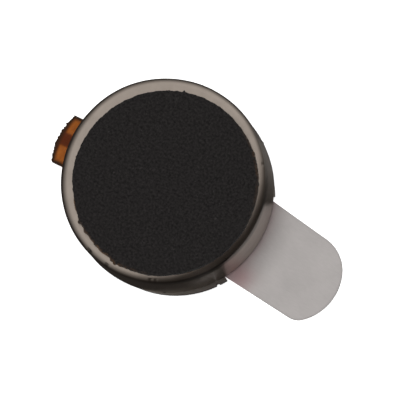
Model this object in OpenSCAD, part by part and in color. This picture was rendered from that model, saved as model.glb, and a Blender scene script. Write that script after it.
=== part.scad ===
// Vibration coin motor: a flat, brushed, eccentric-rotor motor in a drawn steel case.
// The origin is on the case axis at the underside of the release liner.
// +X runs along the liner's pull tab, and +Z points up through the foam pad.

/* [Case] */
// Outer diameter of the drawn steel case
case_d = 10; // [9.8:0.1:10.6]
// Height of the closed case, from the base plate's underside to its top
body_h = 3.2; // [3.1:0.05:3.5]
// Sheet thickness of the case
case_t = 0.2; // [0.15:0.01:0.22]
// Outside radius of the case's top edge
edge_r = 0.42; // [0.3:0.01:0.45]

/* [Base plate] */
// Thickness of the plate's flange, which shows under the case wall
flange_t = 0.25; // [0.2:0.01:0.3]
// Half angle of the stretch of flange that is cut back under the pull tab
relief_angle = 27; // [20:0.5:32]
// Depth of the cut-back stretch
relief_depth = 0.1; // [0.05:0.01:0.15]

/* [Sticky side] */
// Thickness of the release liner
liner_t = 0.1; // [0.08:0.01:0.14]
// Diameter of the liner's round part
liner_d = 9.6; // [9.2:0.1:9.8]
// Width of the pull tab where it leaves the case
tab_w = 4.3; // [3.6:0.02:4.6]
// Distance from the case axis to the pull tab's tip
tab_reach = 9.48; // [8.6:0.02:10.5]
// Thickness of the double-sided tape
tape_t = 0.14; // [0.1:0.01:0.2]

/* [Foam pad] */
// Diameter of the foam pad
pad_d = 8.9; // [8.4:0.05:8.95]
// Thickness of the foam
pad_t = 0.3; // [0.2:0.05:0.5]
// How far the pad was laid off the case axis, along the pull tab
pad_x = 0.22; // [-0.25:0.01:0.25]
// How far the pad was laid off the case axis, across the pull tab
pad_y = -0.1; // [-0.2:0.01:0.2]

/* [Flex tab] */
// Direction of the flex tab, counter-clockwise from the pull tab
flex_angle = 187; // [150:1:210]
// Width of the flex tab
flex_w = 2.55; // [2.3:0.05:2.7]
// Distance from the case axis to the flex tab's outer edge
flex_reach = 6.2; // [6:0.05:7]

/* [Magnet and shaft] */
// Outer diameter of the ring magnet
magnet_d = 8; // [7:0.1:8.4]
// Height of the ring magnet
magnet_h = 0.82; // [0.7:0.01:0.85]
// Diameter of the shaft
shaft_d = 0.8; // [0.7:0.02:0.9]

/* [Rotor] */
// Radius of the rotor's fan
rotor_r = 4.4; // [4.2:0.05:4.45]
// Half angle of the fan
fan_angle = 100; // [98:1:115]
// Half angle of the tungsten weight
weight_angle = 27; // [15:1:27]
// Number of commutator segments
segments = 6; // [6:2:8]

/* [Hidden] */
$fn = 96;

// Clearances
release_gap = 0.01;   // silicone film between the liner and the tape
end_play = 0.03;      // the rotor's axial play at each washer
bearing_gap = 0.03;   // radial running clearance on the shaft
washer_gap = 0.02;    // radial clearance of the washers on the shaft
spigot_gap = 0.01;    // radial clearance of the plate's step in the case
brush_gap = 0.015;    // the brush tips stay this far below the commutator
air_gap = 0.25;       // magnet to rotor board
cut = 1;              // how far a cutting shape runs past the face it cuts

// Case and plate
case_r = case_d / 2;
inner_r = case_r - case_t;
inner_edge_r = edge_r - case_t;
plate_z = liner_t + release_gap + tape_t;
seam_z = plate_z + flange_t;
flex_t = 0.1;
floor_z = seam_z + flex_t;
top_z = plate_z + body_h;
ceiling_z = top_z - case_t;
boss_r = 0.8;
boss_top = floor_z + 0.44;
// Flange: beside the pull tab it follows a smaller disc that lies off the axis
foot_r = 4.75;
foot_x = 0.45;
foot_y = -0.16;
relief_turn = 2;
nicks = [[-98, case_r], [-30.4, case_r + 0.2], [98, case_r]];
nick_r = 0.09;

// Foam pad and the film that holds it
pad_film_t = 0.04;
pad_z = top_z + pad_film_t;

// Shaft, washers and sleeve
shaft_r = shaft_d / 2;
washer_t = 0.1;
washer_r = 0.78;
sleeve_r = 0.85;
sleeve_z = boss_top + washer_t + end_play;
sleeve_top = ceiling_z - washer_t - end_play;

// Magnet
glue_t = 0.03;
magnet_r = magnet_d / 2;
magnet_bore_r = 1.95;
magnet_z = floor_z + glue_t;
magnet_top = magnet_z + magnet_h;

// Flex board
flex_edge_r = 3.1;
flex_eye_r = 1.9;
flex_fit = 0.03;
coverlay_t = 0.05;
coverlay_start = magnet_r + 0.06;
land_t = 0.025;
land_w = 0.7;
land_l = 0.62;
land_pitch = 1.5;
notch_h = flex_t + coverlay_t + 0.05;

// Rotor
board_z = magnet_top + air_gap;
board_t = 0.16;
copper_t = 0.06;
commutator_z = board_z - copper_t;
winding_z = board_z + board_t;
winding_top = sleeve_top - 0.1;
winding_h = winding_top - winding_z;
hub_r = 1.5;
coil_at = 2.65;
coil_r = 1.4;
coil_hole_r = 0.55;
coil_angle = 62;
weight_in_r = 1.65;
pocket_gap = 0.02;

// Brushes
brush_t = 0.06;
brush_w = 0.4;
brush_at = 1.35;
brush_half = 0.86;
heel_x = -0.3;
crest_x = 0.6;
brush_foot_z = floor_z + brush_t / 2;
brush_crest_z = commutator_z - brush_gap - brush_t / 2;

// Pull tab: the lower side runs along X and the upper side leans in. The end is an arc
// that one arc blends into each side.
tab_low_y = -2.09;
tab_lean = 3.15;
tab_high = 5 * sin(tab_lean) + (tab_low_y + tab_w) * cos(tab_lean);
tab_arc_r = 2.51;
tab_arc_x = tab_reach - tab_arc_r;
tab_arc_y = -0.1;
low_corner_r = 0.9;
low_corner_y = tab_low_y + low_corner_r;
low_corner_x = tab_arc_x + sqrt(pow(tab_arc_r - low_corner_r, 2) - pow(low_corner_y - tab_arc_y, 2));
low_corner_a = atan2(low_corner_y - tab_arc_y, low_corner_x - tab_arc_x);
high_corner_r = 1.9;
high_out = tab_high - high_corner_r - tab_arc_x * sin(tab_lean) - tab_arc_y * cos(tab_lean);
high_along = sqrt(pow(tab_arc_r - high_corner_r, 2) - pow(high_out, 2));
high_corner_x = tab_arc_x + high_out * sin(tab_lean) + high_along * cos(tab_lean);
high_corner_y = tab_arc_y + high_out * cos(tab_lean) - high_along * sin(tab_lean);
high_corner_a = atan2(high_corner_y - tab_arc_y, high_corner_x - tab_arc_x);

// Points of an arc from angle a0 to a1
function arc(cx, cy, r, a0, a1, n) =
    [for (i = [0:n]) let (a = a0 + (a1 - a0) * i / n) [cx + r * cos(a), cy + r * sin(a)]];

// Height of a brush's centre line: a flat foot, a smooth rise, and a curl past the crest
function brush_z(x) =
    x < heel_x ? brush_foot_z :
    x < crest_x ?
        let (t = (x - heel_x) / (crest_x - heel_x))
        brush_foot_z + (brush_crest_z - brush_foot_z) * t * t * (3 - 2 * t) :
        brush_crest_z - 1.6 * pow(x - crest_x, 2);

// Ring or tube between two heights
module tube(r_out, r_in, z0, z1) {
    translate([0, 0, z0])
        difference() {
            cylinder(r = r_out, h = z1 - z0);
            translate([0, 0, -cut]) cylinder(r = r_in, h = z1 - z0 + 2 * cut);
        }
}

// Cross-section of a turned solid with its top outside edge rounded to radius e
module rounded_section(r, z0, z1, e) {
    translate([0, z0]) square([r - e, z1 - z0]);
    translate([0, z0]) square([r, z1 - z0 - e]);
    translate([r - e, z1 - e]) circle(r = e);
}

// Sector of a ring, centred on +X
module ring_sector(r_out, r_in, half_angle, z0, z1) {
    translate([0, 0, z0])
        rotate_extrude(angle = 2 * half_angle, start = -half_angle)
            translate([r_in, 0]) square([r_out - r_in, z1 - z0]);
}

// Flex outline on its own axis: parallel sides and a bowed outer edge
module flex_outline(x0, w) {
    bow = asin(w / 2 / flex_edge_r);
    polygon(concat(
        [[x0, w / 2], [x0, -w / 2]],
        arc(flex_reach - flex_edge_r, 0, flex_edge_r, -bow, bow, 12)));
}

// ---- Case and plate ----

module case_cover() {
    color("silver")
        difference() {
            rotate_extrude()
                difference() {
                    rounded_section(case_r, seam_z, top_z, edge_r);
                    translate([0, -cut])
                        rounded_section(inner_r, seam_z, ceiling_z + cut, inner_edge_r);
                }
            rotate(flex_angle)
                translate([inner_r - cut, -flex_w / 2 - flex_fit, seam_z - cut])
                    cube([case_t + 2 * cut, flex_w + 2 * flex_fit, notch_h + cut]);
        }
}

// Outline of the flange, which stands a little proud of the wall beside the pull tab
module flange_outline() {
    circle(r = case_r);
    translate([foot_x, foot_y]) circle(r = foot_r);
}

// Pressed plate: a flange under the case wall, a step that centres the case, and a
// boss for the shaft. A channel in the step takes the flex board.
module base_plate() {
    color("gainsboro")
        difference() {
            union() {
                translate([0, 0, plate_z]) linear_extrude(flange_t) flange_outline();
                translate([0, 0, plate_z]) cylinder(r = inner_r - spigot_gap, h = floor_z - plate_z);
                translate([0, 0, plate_z]) cylinder(r = boss_r, h = boss_top - plate_z);
            }
            translate([0, 0, plate_z - cut]) cylinder(r = shaft_r, h = body_h);
            translate([0, 0, plate_z])
                rotate(flex_angle)
                    translate([0, -flex_w / 2 - flex_fit, flange_t])
                        difference() {
                            cube([case_d, flex_w + 2 * flex_fit, cut]);
                            translate([0, flex_w / 2 + flex_fit, -cut]) cylinder(r = boss_r, h = 3 * cut);
                        }
            tube(flex_eye_r + flex_fit, boss_r, seam_z, floor_z + cut);
            rotate(relief_turn)
                ring_sector(case_r + cut, case_r - relief_depth, relief_angle, plate_z - cut, seam_z + cut / 2);
            for (n = nicks)
                rotate(n[0])
                    translate([n[1] + nick_r / 3, 0, plate_z - cut])
                        cylinder(r = nick_r, h = flange_t + 2 * cut);
        }
}

// Laser weld beads along the seam of the case and the plate
module case_welds() {
    bead_r = 0.2;
    bead_in = 0.17;
    color("darkgray")
        difference() {
            for (a = [60, 135, 235, 300])
                rotate(a) translate([case_r - bead_in, 0, seam_z]) sphere(r = bead_r);
            translate([0, 0, seam_z - cut]) cylinder(r = case_r, h = 2 * cut);
            translate([foot_x, foot_y, plate_z]) cylinder(r = foot_r, h = flange_t);
        }
}

module shaft() {
    color("lightsteelblue")
        translate([0, 0, plate_z]) cylinder(r = shaft_r, h = ceiling_z - plate_z);
}

// ---- Magnet ----

module magnet_adhesive() {
    color("khaki") tube(magnet_r - 0.1, magnet_bore_r + 0.1, floor_z, magnet_z);
}

module ring_magnet() {
    color("dimgray") tube(magnet_r, magnet_bore_r, magnet_z, magnet_top);
}

// ---- Flex board and brushes ----

module flex_board() {
    color("chocolate")
        translate([0, 0, seam_z])
            linear_extrude(flex_t)
                rotate(flex_angle)
                    difference() {
                        union() {
                            circle(r = flex_eye_r);
                            flex_outline(0, flex_w);
                        }
                        circle(r = boss_r + flex_fit);
                    }
}

// One copper land of the flex tab, on the side given by s
module land(s) {
    rotate(flex_angle)
        translate([flex_reach - land_l - 0.3, s * land_pitch / 2 - land_w / 2, floor_z])
            cube([land_l, land_w, land_t]);
}

module positive_land() {
    color("goldenrod") land(1);
}

module negative_land() {
    color("goldenrod") land(-1);
}

module flex_coverlay() {
    color("sienna")
        difference() {
            translate([0, 0, floor_z])
                linear_extrude(coverlay_t)
                    rotate(flex_angle) flex_outline(coverlay_start, flex_w);
            land(1);
            land(-1);
        }
}

// A leaf spring on the +Y side of the shaft, split into two fingers
module brush() {
    steps = 32;
    xs = [for (i = [0:steps]) -brush_half + 2 * brush_half * i / steps];
    slope = [for (x = xs) (brush_z(x + 0.01) - brush_z(x - 0.01)) / 0.02];
    half = brush_t / 2;
    upper = [for (i = [0:steps]) let (n = sqrt(1 + pow(slope[i], 2)))
        [xs[i] - half * slope[i] / n, brush_z(xs[i]) + half / n]];
    lower = [for (i = [0:steps]) let (k = steps - i, n = sqrt(1 + pow(slope[k], 2)))
        [xs[k] + half * slope[k] / n, brush_z(xs[k]) - half / n]];
    slit_w = 0.08;
    difference() {
        translate([0, brush_at + brush_w / 2, 0])
            rotate([90, 0, 0]) linear_extrude(brush_w) polygon(concat(upper, lower));
        translate([0.1, brush_at - slit_w / 2, floor_z]) cube([cut, slit_w, 2 * cut]);
    }
}

module positive_brush() {
    color("peru") brush();
}

module negative_brush() {
    color("peru") rotate(180) brush();
}

// Solder that holds each brush's foot to the flex board
module brush_solder() {
    fillet = 0.06;
    color("lightgray")
        for (a = [0, 180], side = [-1, 1])
            rotate(a)
                translate([-brush_half, brush_at + side * (brush_w / 2 + fillet / 2) - fillet / 2, floor_z])
                    cube([brush_half + heel_x - 0.1, fillet, fillet]);
}

// ---- Thrust washers ----

module lower_thrust_washer() {
    color("ivory") tube(washer_r, shaft_r + washer_gap, boss_top, boss_top + washer_t);
}

module upper_thrust_washer() {
    color("ivory") tube(washer_r, shaft_r + washer_gap, ceiling_z - washer_t, ceiling_z);
}

// ---- Foam side and sticky side ----

module pad_adhesive() {
    color("saddlebrown")
        translate([pad_x, pad_y, top_z]) cylinder(d = pad_d - 0.2, h = pad_film_t);
}

module foam_pad() {
    color("#222224")
        translate([pad_x, pad_y, pad_z]) cylinder(d = pad_d, h = pad_t);
}

module adhesive_tape() {
    color("whitesmoke")
        translate([0, 0, liner_t + release_gap]) cylinder(d = liner_d - 0.2, h = tape_t);
}

module release_liner() {
    color("gainsboro")
        linear_extrude(liner_t)
            union() {
                circle(d = liner_d);
                polygon(concat(
                    [[0, tab_low_y]],
                    arc(low_corner_x, low_corner_y, low_corner_r, -90, low_corner_a, 6),
                    arc(tab_arc_x, tab_arc_y, tab_arc_r, low_corner_a, high_corner_a, 24),
                    arc(high_corner_x, high_corner_y, high_corner_r, high_corner_a, 90 - tab_lean, 8),
                    [[0, tab_high / cos(tab_lean)]]));
            }
}

// ---- Rotor ----

module bearing_sleeve() {
    color("darkgoldenrod") tube(sleeve_r, shaft_r + bearing_gap, sleeve_z, sleeve_top);
}

module rotor_board() {
    color("darkgreen")
        difference() {
            union() {
                translate([0, 0, board_z]) cylinder(r = 2.1, h = board_t);
                ring_sector(rotor_r, sleeve_r / 2, fan_angle, board_z, winding_z);
            }
            translate([0, 0, board_z - cut]) cylinder(r = sleeve_r, h = board_t + 2 * cut);
        }
}

module commutator_segments() {
    slot_angle = 9;
    color("orange")
        for (i = [0:segments - 1])
            rotate(i * 360 / segments)
                ring_sector(1.85, 0.95, 180 / segments - slot_angle / 2, commutator_z, board_z);
}

// A flat air-core coil at angle a
module coil(a) {
    rotate(a)
        translate([coil_at, 0, 0]) tube(coil_r, coil_hole_r, winding_z, winding_top);
}

module coil_a() {
    color("orangered") coil(coil_angle);
}

module coil_b() {
    color("orangered") coil(-coil_angle);
}

// Coil ends soldered to the underside of the rotor board
module coil_solder() {
    dot_r = 0.16;
    color("lightgray")
        for (a = [-84, -40, 40, 84])
            rotate(a) translate([2.5, 0, commutator_z]) cylinder(r = dot_r, h = copper_t);
}

module counterweight() {
    color("slategray") ring_sector(rotor_r, weight_in_r, weight_angle, winding_z, winding_top);
}

module rotor_moulding() {
    color("#3a3a3c")
        difference() {
            union() {
                translate([0, 0, winding_z]) cylinder(r = hub_r, h = winding_h);
                ring_sector(rotor_r, sleeve_r / 2, fan_angle, winding_z, winding_top);
            }
            translate([0, 0, winding_z - cut]) cylinder(r = sleeve_r, h = winding_h + 2 * cut);
            ring_sector(rotor_r + cut, weight_in_r - pocket_gap, weight_angle + 0.5,
                winding_z - cut, winding_top + cut);
            for (a = [-coil_angle, coil_angle])
                rotate(a)
                    translate([coil_at, 0, winding_z - cut])
                        cylinder(r = coil_r + pocket_gap, h = winding_h + 2 * cut);
        }
}

case_cover();
base_plate();
case_welds();
shaft();
magnet_adhesive();
ring_magnet();
flex_board();
positive_land();
negative_land();
flex_coverlay();
positive_brush();
negative_brush();
brush_solder();
lower_thrust_washer();
upper_thrust_washer();
pad_adhesive();
foam_pad();
adhesive_tape();
bearing_sleeve();
rotor_board();
commutator_segments();
coil_a();
coil_b();
coil_solder();
counterweight();
rotor_moulding();
release_liner();
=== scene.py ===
"""Vibration coin motor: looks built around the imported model.

Laid out as an add-on: one operator makes each piece or group of like pieces, and one makes the stage.
Every length is in metres. The motor stands on its release liner, with its axis on +Z and the
liner's pull tab along +X.
"""

import math

import bpy
import numpy as np
from mathutils import Matrix, Vector


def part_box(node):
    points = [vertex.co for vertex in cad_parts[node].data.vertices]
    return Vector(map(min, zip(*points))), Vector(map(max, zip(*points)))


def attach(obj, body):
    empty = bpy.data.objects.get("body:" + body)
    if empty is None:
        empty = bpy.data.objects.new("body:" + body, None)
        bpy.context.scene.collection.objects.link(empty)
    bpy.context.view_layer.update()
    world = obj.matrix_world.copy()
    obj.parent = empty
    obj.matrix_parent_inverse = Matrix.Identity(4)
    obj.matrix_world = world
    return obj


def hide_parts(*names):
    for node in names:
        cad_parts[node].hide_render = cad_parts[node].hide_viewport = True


bl_info = {
    "name": "Coin Vibration Motor",
    "version": (1, 0, 0),
    "blender": (4, 5, 0),
    "location": "View3D > Sidebar > Motor",
    "description": "Builds the visible pieces and finishes of a flat vibration motor",
    "category": "Add Mesh",
}

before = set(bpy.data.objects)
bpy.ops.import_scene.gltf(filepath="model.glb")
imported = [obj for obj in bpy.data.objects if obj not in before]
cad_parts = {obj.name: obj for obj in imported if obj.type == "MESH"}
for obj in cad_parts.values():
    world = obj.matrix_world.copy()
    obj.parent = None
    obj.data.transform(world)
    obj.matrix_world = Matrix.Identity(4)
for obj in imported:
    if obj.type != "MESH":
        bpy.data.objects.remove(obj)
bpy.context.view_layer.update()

MM = 0.001
CASE_LOW, CASE_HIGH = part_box("case_cover")
FOAM_LOW, FOAM_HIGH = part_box("foam_pad")
FILM_LOW, FILM_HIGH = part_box("pad_adhesive")
LINER_LOW, LINER_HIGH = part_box("release_liner")
TAPE_LOW, TAPE_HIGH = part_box("adhesive_tape")
FLEX_LOW, FLEX_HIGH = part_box("flex_board")
COVER_LOW, COVER_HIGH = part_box("flex_coverlay")
WASHER_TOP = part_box("upper_thrust_washer")[1].z
MAGNET_LOW, MAGNET_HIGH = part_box("ring_magnet")
COIL_BOXES = {name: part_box(name) for name in ("coil_a", "coil_b")}

FULL_TURN = 2 * np.pi
WALL_AT = 5 * MM  # distances from the axis
# Where a painted shadow line of the foam's edge lies on the case top
FOAM_SHADOW_AT = 4.68 * MM

# Marks, wear, painted shade and painted sheen. Directions are in degrees from the pull tab, and
# widths are half widths in degrees
SCRATCH_AT, SCUFF_AND_SHEEN_AT, SHEEN_PATCH_AT = 331, 327, 47
BULGE_AT, SHADE_BAND_AT = 150, -15
TEAR_AT, TEAR_WIDTH = 254, 14
PROUD_AT, PROUD_WIDTH = 289, 17
SWELL_AT, BROWN_AT, BROWN_WIDTH = 33, 262, 22
RIM_DINGS = (  # direction, width, share of the full depth
    (297, 0.7, 1.0), (300, 0.5, 0.7), (257, 1.1, 1.3), (270, 0.7, 1.1), (41, 0.6, 0.6),
)
RIM_DIRT = (  # direction, width, distance from the axis in mm, darkness
    (258, 1.6, 4.86, 0.9), (270, 1.2, 4.95, 0.8), (250, 3, 4.92, 0.6),
)
FOAM_SHREDS = (  # direction, width, how far the edge goes in, in mm, and below 0 how far out
    (271.5, 1.2, -0.12), (269, 0.8, -0.09), (237.5, 0.9, -0.10), (244.5, 1.3, -0.08),
    (250, 0.6, 0.03), (255, 1.6, -0.05), (275, 1.2, -0.06), (223, 9, 0.07),
    (261, 0.7, -0.02), (264.5, 0.7, 0.03), (281, 0.8, 0.03), (233, 0.7, 0.03),
    (111.5, 0.5, -0.10), (51, 0.9, -0.05), (29, 0.8, 0.02), (196, 0.7, -0.02),
    (166, 0.6, 0.02), (87, 0.6, -0.02),
)


# ---- Settings ----


class MOTOR_PG_case(bpy.types.PropertyGroup):
    radius: bpy.props.FloatProperty(
        name="Case radius", description="Outer radius of the drawn case",
        default=(CASE_HIGH.y - CASE_LOW.y) / 2, unit="LENGTH", precision=5)
    wall: bpy.props.FloatProperty(
        name="Sheet thickness", description="Thickness of the case's steel",
        default=CASE_HIGH.z - WASHER_TOP, unit="LENGTH", precision=5)
    edge: bpy.props.FloatProperty(
        name="Edge width", description="How far in the rounded top edge reaches",
        default=0.40 * MM, unit="LENGTH", precision=5)
    edge_drop: bpy.props.FloatProperty(
        name="Edge drop", description="How far down the rounded top edge reaches",
        default=0.40 * MM, unit="LENGTH", precision=5)
    bulge: bpy.props.FloatProperty(
        name="Bulge", description="How far the drawn wall stands out of round on the side behind the flex",
        default=0.04 * MM, unit="LENGTH", precision=5)
    draft: bpy.props.FloatProperty(
        name="Draft", description="How much the drawn wall narrows from its lip to its top",
        default=0.045 * MM, unit="LENGTH", precision=5)
    notch_height: bpy.props.FloatProperty(
        name="Flex slot height", description="Height of the slot that the flex board leaves through",
        default=0.2 * MM, unit="LENGTH", precision=5)
    colour: bpy.props.FloatVectorProperty(
        name="Nickel colour", description="Colour of the satin nickel plate",
        default=(0.46, 0.405, 0.36), subtype="COLOR", size=3, min=0, max=1)
    plate_colour: bpy.props.FloatVectorProperty(
        name="Base plate colour", description="Colour of the plated base",
        default=(0.28, 0.26, 0.24), subtype="COLOR", size=3, min=0, max=1)


class MOTOR_PG_foam(bpy.types.PropertyGroup):
    edge: bpy.props.FloatProperty(
        name="Edge softness", description="Radius that the pad's cut edge is softened to",
        default=0.06 * MM, unit="LENGTH", precision=5)
    grain: bpy.props.FloatProperty(
        name="Grain height", description="Height of the foam skin's fine relief",
        default=0.006 * MM, unit="LENGTH", precision=6)
    fray: bpy.props.FloatProperty(
        name="Fray", description="How far the cut edge wanders from a true circle",
        default=0.008 * MM, unit="LENGTH", precision=6)
    colour: bpy.props.FloatVectorProperty(
        name="Foam colour", description="Colour of the foam's skin",
        default=(0.0150, 0.0136, 0.0134), subtype="COLOR", size=3, min=0, max=1)
    film_colour: bpy.props.FloatVectorProperty(
        name="Adhesive colour", description="Colour of the adhesive film where the foam is torn",
        default=(0.085, 0.045, 0.022), subtype="COLOR", size=3, min=0, max=1)


class MOTOR_PG_liner(bpy.types.PropertyGroup):
    low_side: bpy.props.FloatProperty(
        name="Low side", description="Distance from the tab's centre line to its straight side",
        default=2.09 * MM, unit="LENGTH", precision=5)
    high_side: bpy.props.FloatProperty(
        name="High side", description="Distance from the centre line to the leaning side, at the case",
        default=2.21 * MM, unit="LENGTH", precision=5)
    lean: bpy.props.FloatProperty(
        name="Lean", description="Angle that the high side leans in by",
        default=math.radians(3.15), subtype="ANGLE")
    end_radius: bpy.props.FloatProperty(
        name="Tab end radius", description="Radius of the pull tab's rounded end",
        default=2.51 * MM, unit="LENGTH", precision=5)
    end_shift: bpy.props.FloatProperty(
        name="Tab end shift", description="How far the rounded end lies off the centre line",
        default=-0.1 * MM, unit="LENGTH", precision=5)
    low_radius: bpy.props.FloatProperty(
        name="Low corner radius", description="Radius of the blend from the tab's end into its low side",
        default=0.9 * MM, unit="LENGTH", precision=5)
    high_radius: bpy.props.FloatProperty(
        name="High corner radius", description="Radius of the blend from the tab's end into its high side",
        default=1.9 * MM, unit="LENGTH", precision=5)
    lift: bpy.props.FloatProperty(
        name="Tab lift", description="How far the tip of the tab curls up",
        default=0.07 * MM, unit="LENGTH", precision=5)
    colour: bpy.props.FloatVectorProperty(
        name="Liner colour", description="Colour of the release paper",
        default=(0.415, 0.39, 0.38), subtype="COLOR", size=3, min=0, max=1)


class MOTOR_PG_flex(bpy.types.PropertyGroup):
    angle: bpy.props.FloatProperty(
        name="Flex direction", description="Direction of the flex tab from the pull tab",
        default=math.radians(187), subtype="ANGLE")
    width: bpy.props.FloatProperty(
        name="Flex width", description="Width of the flex tab",
        default=2.55 * MM, unit="LENGTH", precision=5)
    reach: bpy.props.FloatProperty(
        name="Flex reach", description="Distance from the axis to the flex tab's outer edge",
        default=6.2 * MM, unit="LENGTH", precision=5)
    bow: bpy.props.FloatProperty(
        name="Outer edge radius", description="Radius of the flex tab's bowed outer edge",
        default=3.1 * MM, unit="LENGTH", precision=5)
    land_colour: bpy.props.FloatVectorProperty(
        name="Land colour", description="Colour of the film over a copper land",
        default=(0.29, 0.084, 0.012), subtype="COLOR", size=3, min=0, max=1)
    film_colour: bpy.props.FloatVectorProperty(
        name="Film colour", description="Colour of the film where nothing lies under it",
        default=(0.074, 0.013, 0.001), subtype="COLOR", size=3, min=0, max=1)


class MOTOR_PG_stage(bpy.types.PropertyGroup):
    azimuth: bpy.props.FloatProperty(
        name="Camera azimuth", description="Where the camera stands: at -Y for 0, at +X for 90 degrees",
        default=math.radians(70.6), subtype="ANGLE")
    elevation: bpy.props.FloatProperty(
        name="Camera elevation", description="Camera's height above the horizon, as an angle",
        default=math.radians(77.2), subtype="ANGLE")
    roll: bpy.props.FloatProperty(
        name="Camera roll", description="Turn of the camera about its own view",
        default=math.radians(37.6), subtype="ANGLE")
    distance: bpy.props.FloatProperty(
        name="Camera distance", description="Distance from the camera to the point it looks at",
        default=148 * MM, unit="LENGTH")
    aim: bpy.props.FloatVectorProperty(
        name="Aim", description="Point that the camera looks at",
        default=(1.71 * MM, 0.26 * MM, 1.7 * MM), subtype="TRANSLATION", size=3, precision=5)
    lens: bpy.props.FloatProperty(
        name="Lens", description="Focal length in millimetres", default=278.0)
    floor_size: bpy.props.FloatProperty(
        name="Floor size", description="Side of the floor", default=1.2, unit="LENGTH")
    floor_colour: bpy.props.FloatVectorProperty(
        name="Floor colour", description="Colour of the floor",
        default=(0.93, 0.93, 0.93), subtype="COLOR", size=3, min=0, max=1)
    floor_glow: bpy.props.FloatProperty(
        name="Floor glow", description="How strongly the floor glows, as a light table does", default=0.75)
    sky: bpy.props.FloatProperty(
        name="Sky strength", description="Strength of the soft light from all round", default=0.23)
    dark_side: bpy.props.FloatProperty(
        name="Dark side", description="Direction in which the mirrored studio is dark",
        default=math.radians(-15), subtype="ANGLE")
    softbox_power: bpy.props.FloatProperty(
        name="Softbox power", description="Power of the overhead softbox in watts", default=0.78)


# ---- Shapes ----


def ripple(points, shortest, longest, seed, waves=40):
    """Smooth noise of about unit size: cosine waves with seeded directions and phases, their
    wavelengths spread evenly from shortest to longest, are added and divided by the root of half
    their number."""
    rng = np.random.default_rng(seed)
    heading = rng.normal(size=(waves, 3))
    heading /= np.linalg.norm(heading, axis=1, keepdims=True)
    length = np.linspace(shortest, longest, waves)
    phase = rng.uniform(0, 2 * np.pi, waves)
    flat = points.reshape(-1, 3)
    total = np.cos(2 * np.pi * flat @ (heading / length[:, None]).T + phase).sum(axis=1)
    return (total / np.sqrt(waves / 2)).reshape(points.shape[:-1])


def bell(value, centre, width):
    """A Gaussian bell: 1 at the centre, falling with the square of the distance in widths."""
    return np.exp(-(((value - centre) / width) ** 2))


def straight(start, end, count):
    """Points of a straight stretch of profile, from start up to but not with end."""
    share = np.arange(count)[:, None] / count
    return np.array(start) * (1 - share) + np.array(end) * share


def bend(centre, radius, start, end, count):
    """Points of a round stretch of profile: centre plus radius times (cos a, sin a), angles in degrees."""
    angle = np.radians(start + (end - start) * np.arange(count) / count)
    return np.stack([centre[0] + radius * np.cos(angle), centre[1] + radius * np.sin(angle)], axis=1)


def new_object(name, points, quads, fans):
    """A smooth-shaded mesh object in the scene, from whole arrays of points, quads and triangles."""
    mesh = bpy.data.meshes.new(name)
    mesh.from_pydata(points, [], quads.tolist() + fans.tolist())
    mesh.validate()
    mesh.shade_smooth()
    made = bpy.data.objects.new(name, mesh)
    bpy.context.scene.collection.objects.link(made)
    return made


def ring_object(name, rings, poles=None):
    """Joins a stack of rings, points[ring, around, xyz], with quads. Rings run so that around x onward
    points out of the solid. With poles, a point closes each end. Without, the last ring meets the
    first."""
    count, around = rings.shape[:2]
    onward = np.arange(count - 1 if poles is not None else count)[:, None]
    j = np.arange(around)[None, :]
    after, side = (onward + 1) % count, (j + 1) % around
    corners = (onward * around + j, onward * around + side, after * around + side, after * around + j)
    quads = np.stack(corners, axis=-1).reshape(-1, 4)
    points = rings.reshape(-1, 3)
    fans = np.zeros((0, 3), int)
    if poles is not None:
        first, last = count * around, count * around + 1
        j = np.arange(around)
        side = (j + 1) % around
        low = np.stack([np.full(around, first), side, j], axis=1)
        end = (count - 1) * around
        high = np.stack([end + j, end + side, np.full(around, last)], axis=1)
        points = np.concatenate([points, poles])
        fans = np.concatenate([low, high])
    return new_object(name, points, quads, fans)


def lathe(profile, angles):
    """Turns a profile of (radius, height) about the axis: x = r cos a, y = r sin a, z = height."""
    radius = profile[:, 0, None]
    flat = np.ones_like(angles)[None, :]
    return np.stack([radius * np.cos(angles), radius * np.sin(angles), profile[:, 1, None] * flat], axis=-1)


def sheet_rings(outline, low, high, soften, inner, hole=0.0):
    """Rings of a flat sheet with softened edges. The outline is drawn in by soften along its own normal,
    a quarter circle carries each face into the edge, and the faces are filled by rings at even shares
    of the way from the centre, or from a round hole, to the outline."""
    onward = np.roll(outline, -1, axis=0) - np.roll(outline, 1, axis=0)
    normal = np.stack([onward[:, 1], -onward[:, 0]], axis=1)
    normal /= np.linalg.norm(normal, axis=1, keepdims=True)
    flat_edge = outline - normal * soften
    reach = np.linalg.norm(outline, axis=1, keepdims=True)
    start = outline / reach * hole
    share = np.linspace(0, 1, inner + 1)
    share = share[:-1] if hole else share[1:-1]
    face = start[None] + (flat_edge - start)[None] * share[:, None, None]
    turn = np.radians(np.linspace(0, 90, 5))
    out = outline[None] - normal[None] * (soften * (1 - np.sin(turn)))[:, None, None]
    rise = soften * (1 - np.cos(turn))
    rows = [face, out, out[::-1], face[::-1]]
    heights = [np.full(len(face), low), low + rise, high - rise[::-1], np.full(len(face), high)]
    plan = np.concatenate(rows)
    height = np.concatenate(heights)[:, None, None] * np.ones((1, len(outline), 1))
    rings = np.concatenate([plan, height], axis=2)
    poles = None if hole else np.array([[0, 0, low], [0, 0, high]], float)
    return rings, poles


def resample(outline, count):
    """Points at even spacing along a closed outline."""
    closed = np.concatenate([outline, outline[:1]])
    step = np.linalg.norm(np.diff(closed, axis=0), axis=1)
    along = np.concatenate([[0], np.cumsum(step)])
    want = np.linspace(0, along[-1], count, endpoint=False)
    return np.stack([np.interp(want, along, closed[:, 0]), np.interp(want, along, closed[:, 1])], axis=1)


def turned(plan, angle):
    """Plan points turned about the axis by an angle."""
    c, s = math.cos(angle), math.sin(angle)
    return plan @ np.array([[c, s], [-s, c]])


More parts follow.
